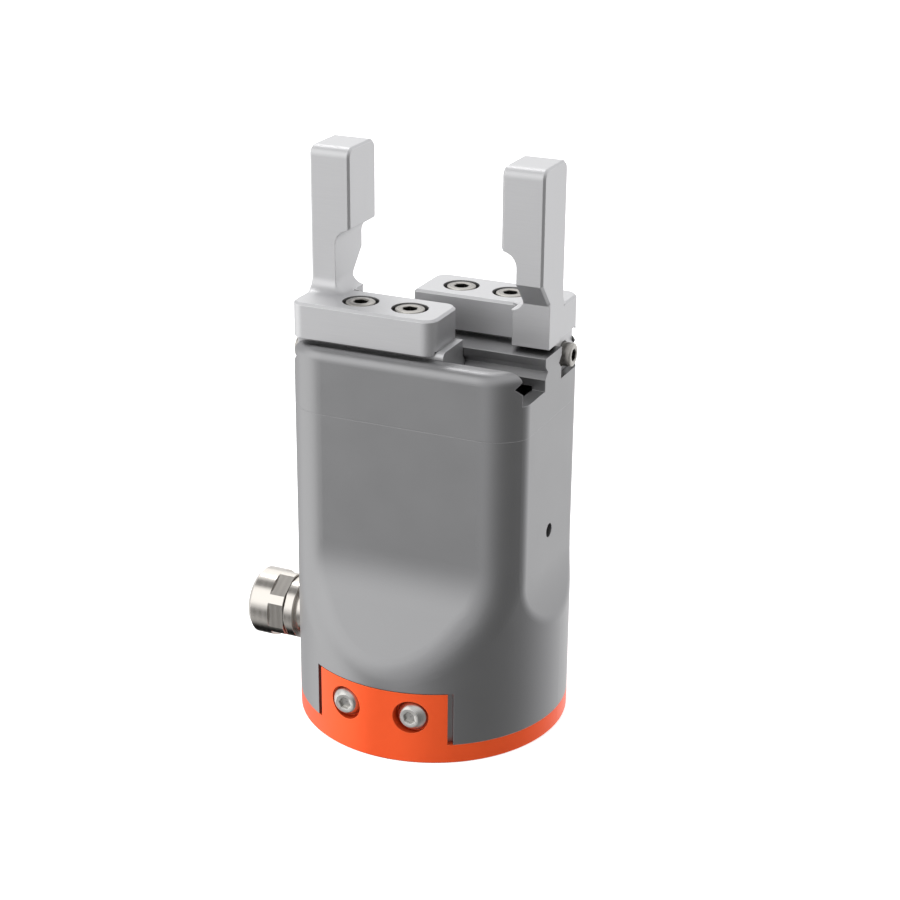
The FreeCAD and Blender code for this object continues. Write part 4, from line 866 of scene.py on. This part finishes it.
class GRIPPER_OT_drive(Operator):
    """Finish the racks, gears, shafts, bearings and motor inside the body"""
    bl_idname = "gripper.drive"
    bl_label = "Drive"

    def execute(self, context):
        finish_nodes(ground_steel(), "front_rack", "rear_rack", "pinion", "carrier_shaft", "ring_gear",
                     "planet_gear_1", "planet_gear_2", "planet_gear_3", "sun_gear", "motor_shaft")
        finish_nodes(bearing_steel(), "bearing_outer_rings", "output_inner_rings", "motor_inner_rings")
        finish_nodes(turned_case_steel(), "gearbox_case", "motor_case", "motor_cap")
        finish_nodes(stacked_sheets(), "motor_stator")
        finish_nodes(enamelled_copper(), "motor_windings")
        finish_nodes(plated_magnet(), "motor_rotor", "encoder_magnet")
        finish_nodes(bpy.data.materials["hardened_screw_steel"], "head_screws", "front_rack_screws",
                     "rear_rack_screws", "driver_screws", "encoder_nuts")
        return {"FINISHED"}


class GRIPPER_OT_boards(Operator):
    """Finish the encoder and driver boards, the parts on them and the spacers they stand on"""
    bl_idname = "gripper.boards"
    bl_label = "Circuit boards"

    def execute(self, context):
        finish_nodes(solder_mask(), "encoder_board", "driver_board")
        finish_nodes(chip_epoxy(), "encoder_chip", "driver_parts")
        finish_nodes(bpy.data.materials["nickel_plated_brass"], "encoder_standoffs", "driver_spacers")
        return {"FINISHED"}


# Direction from the part: azimuth from the front (-Y) towards +X, and height, in degrees

def heading(azimuth, height):
    flat = math.cos(math.radians(height))
    return Vector((math.sin(math.radians(azimuth)) * flat, -math.cos(math.radians(azimuth)) * flat,
                   math.sin(math.radians(height))))


# Square softbox that faces the middle of the part. Metal mirrors it only where asked

def add_softbox(name, azimuth, height, distance, width, power, mirrored):
    light = bpy.data.lights.new(name, "AREA")
    light.shape = "SQUARE"
    light.size = width
    light.energy = power
    lamp = bpy.data.objects.new(name, light)
    bpy.context.scene.collection.objects.link(lamp)
    aim = heading(azimuth, height)
    lamp.location = Vector(PART_MIDDLE) + aim * distance
    lamp.rotation_euler = aim.to_track_quat("Z", "Y").to_euler()
    lamp.visible_glossy = mirrored


# Studio surroundings: an even pale room with darker and lighter soft patches, later ones over earlier
# ones. A patch has its azimuth and height, the angles from its middle where it begins to fade and where
# it ends, in degrees, and its shade. All rows but the last weren't chosen by hand: they come from a least
# squares fit, in a scratch program, of what the metal mirrors to shades read off the photo

STUDIO_PATCHES = (
    (-145, 44, 17, 28, "#ECECEC"),
    (-135, -62, 11, 36, "#6A6A6A"),
    (-43, -27, 16, 29, "#606060"),
    (65, -16, 18, 72, "#666666"),
    (-185, -13, 4, 35, "#EAEAEA"),
    (-71, -23, 25, 36, "#E7E7E7"),
    (-9, -76, 26, 37, "#7E7E7E"),
    (-62, 64, 9, 20, "#6B6B6B"),
    (-45, 25, 22, 33, "#F1F1F1"),
    (-119, -68, 12, 34, "#121212"),
)


def studio_world(strength):
    world = bpy.data.worlds.new("soft_studio")
    world.use_nodes = True
    tree = world.node_tree
    tree.nodes.clear()
    around = add_node(tree, "ShaderNodeTexCoord").outputs["Generated"]
    sky = add_node(tree, "ShaderNodeBackground", inputs={"Strength": strength})
    colour = linear("#BDBDBE")
    for azimuth, height, inner, outer, shade in STUDIO_PATCHES:
        toward = add_node(tree, "ShaderNodeVectorMath", {"operation": "DOT_PRODUCT"},
                          {0: around, 1: heading(azimuth, height)})
        share = add_node(tree, "ShaderNodeMapRange", {"interpolation_type": "SMOOTHSTEP"}, {
            "Value": toward.outputs["Value"], "From Min": math.cos(math.radians(outer)),
            "From Max": math.cos(math.radians(inner))})
        colour = add_node(tree, "ShaderNodeMix", {"data_type": "RGBA"}, {
            0: share.outputs["Result"], 6: colour, 7: linear(shade)}).outputs[2]
    tree.links.new(colour, sky.inputs["Color"])
    add_node(tree, "ShaderNodeOutputWorld", inputs={"Surface": sky.outputs["Background"]})
    return world


def add_camera():
    data = bpy.data.cameras.new("view")
    data.lens = LENS
    data.sensor_width = SENSOR_W
    data.clip_start = 0.01
    data.clip_end = 20.0
    azimuth = math.radians(CAMERA_AZIMUTH)
    roll = math.radians(CAMERA_ROLL)
    back = heading(CAMERA_AZIMUTH, CAMERA_HEIGHT)
    level = Vector((math.cos(azimuth), math.sin(azimuth), 0))
    upright = back.cross(level)
    right = math.cos(roll) * level + math.sin(roll) * upright
    up = math.cos(roll) * upright - math.sin(roll) * level
    place = (CAMERA_RIGHT * right + CAMERA_UP * up + CAMERA_BACK * back) * MM
    camera = bpy.data.objects.new("view", data)
    bpy.context.scene.collection.objects.link(camera)
    turn = Matrix((right, up, back)).transposed().to_4x4()
    camera.matrix_world = Matrix.Translation(place) @ turn
    bpy.context.scene.camera = camera


# Surface turned about Z from a profile of (radius, height) in metres, which runs from the lowest point up

def turned_about_z(profile, segments=96):
    form = bmesh.new()
    angles = [2 * math.pi * k / segments for k in range(segments)]
    rows = [[form.verts.new((radius * math.cos(a), radius * math.sin(a), height)) for a in angles]
            for radius, height in profile]
    join_rows(form, rows)
    return form, rows


def table_mesh():
    edge = TABLE_EDGE_R
    form, rows = turned_about_z([(TABLE_R - edge, -TABLE_THICKNESS), (TABLE_R, edge - TABLE_THICKNESS),
                                 (TABLE_R, -edge), (TABLE_R - edge, 0.0)])
    form.faces.new(rows[0][::-1])
    form.faces.new(rows[-1])
    return mesh_from(form, "table")


# Paper wall around the table, which curves up from it. Its faces point inwards, to the camera

def paper_wall_mesh(steps=8):
    curve = []
    for k in range(1, steps + 1):
        bend = math.pi / 2 * k / steps
        curve.append((TABLE_R - WALL_COVE_R * (1 - math.sin(bend)), WALL_COVE_R * (1 - math.cos(bend))))
    form, rows = turned_about_z(curve + [(TABLE_R, WALL_H)])
    bmesh.ops.reverse_faces(form, faces=form.faces)
    mesh = mesh_from(form, "paper_wall")
    mesh.shade_smooth()
    return mesh


def add_stand(mesh, material):
    mesh.materials.append(material)
    stand = bpy.data.objects.new(mesh.name, mesh)
    stand.visible_glossy = False
    bpy.context.scene.collection.objects.link(stand)
    return stand


class GRIPPER_OT_stage(Operator):
    """Set the table, the paper wall, the softboxes, the surroundings and the camera"""
    bl_idname = "gripper.stage"
    bl_label = "Stage"

    def execute(self, context):
        light = context.scene.gripper_stage
        white = table_lacquer(light.table_colour)
        add_stand(table_mesh(), white)
        wall = add_stand(paper_wall_mesh(), white)
        wall.visible_diffuse = False
        wall.visible_shadow = False
        add_softbox("key_softbox", azimuth=-40, height=46, distance=1.6, width=1.6,
                    power=light.key_power, mirrored=False)
        add_softbox("edge_softbox", azimuth=-130, height=60, distance=1.0, width=0.2,
                    power=light.edge_power, mirrored=True)
        context.scene.world = studio_world(light.sky_strength)
        context.scene.view_settings.view_transform = "Standard"
        add_camera()
        return {"FINISHED"}


class GRIPPER_PT_finish(Panel):
    """Lists the steps and their sizes and colours"""
    bl_idname = "GRIPPER_PT_finish"
    bl_label = "Parallel Gripper"
    bl_space_type = "VIEW_3D"
    bl_region_type = "UI"
    bl_category = "Gripper"

    def draw(self, context):
        scene = context.scene
        for group in (scene.gripper_finish, scene.gripper_screws, scene.gripper_stage):
            for key in group.__annotations__:
                self.layout.prop(group, key)
        for step in STEPS:
            self.layout.operator(step.bl_idname)


STEPS = (GRIPPER_OT_body, GRIPPER_OT_base, GRIPPER_OT_jaws, GRIPPER_OT_tab_screws, GRIPPER_OT_jaw_screws,
         GRIPPER_OT_connector, GRIPPER_OT_drive, GRIPPER_OT_boards, GRIPPER_OT_stage)
GROUPS = (GripperFinish, ScrewSizes, StageLight)


def register():
    for item in GROUPS + STEPS + (GRIPPER_PT_finish,):
        bpy.utils.register_class(item)
    bpy.types.Scene.gripper_finish = PointerProperty(type=GripperFinish)
    bpy.types.Scene.gripper_screws = PointerProperty(type=ScrewSizes)
    bpy.types.Scene.gripper_stage = PointerProperty(type=StageLight)


def unregister():
    del bpy.types.Scene.gripper_stage
    del bpy.types.Scene.gripper_screws
    del bpy.types.Scene.gripper_finish
    for item in reversed(GROUPS + STEPS + (GRIPPER_PT_finish,)):
        bpy.utils.unregister_class(item)


def main():
    register()
    bpy.ops.gripper.body()
    bpy.ops.gripper.base()
    bpy.ops.gripper.jaws()
    bpy.ops.gripper.tab_screws()
    bpy.ops.gripper.jaw_screws()
    bpy.ops.gripper.connector()
    bpy.ops.gripper.drive()
    bpy.ops.gripper.boards()
    bpy.ops.gripper.stage()


if __name__ == "__main__":
    main()
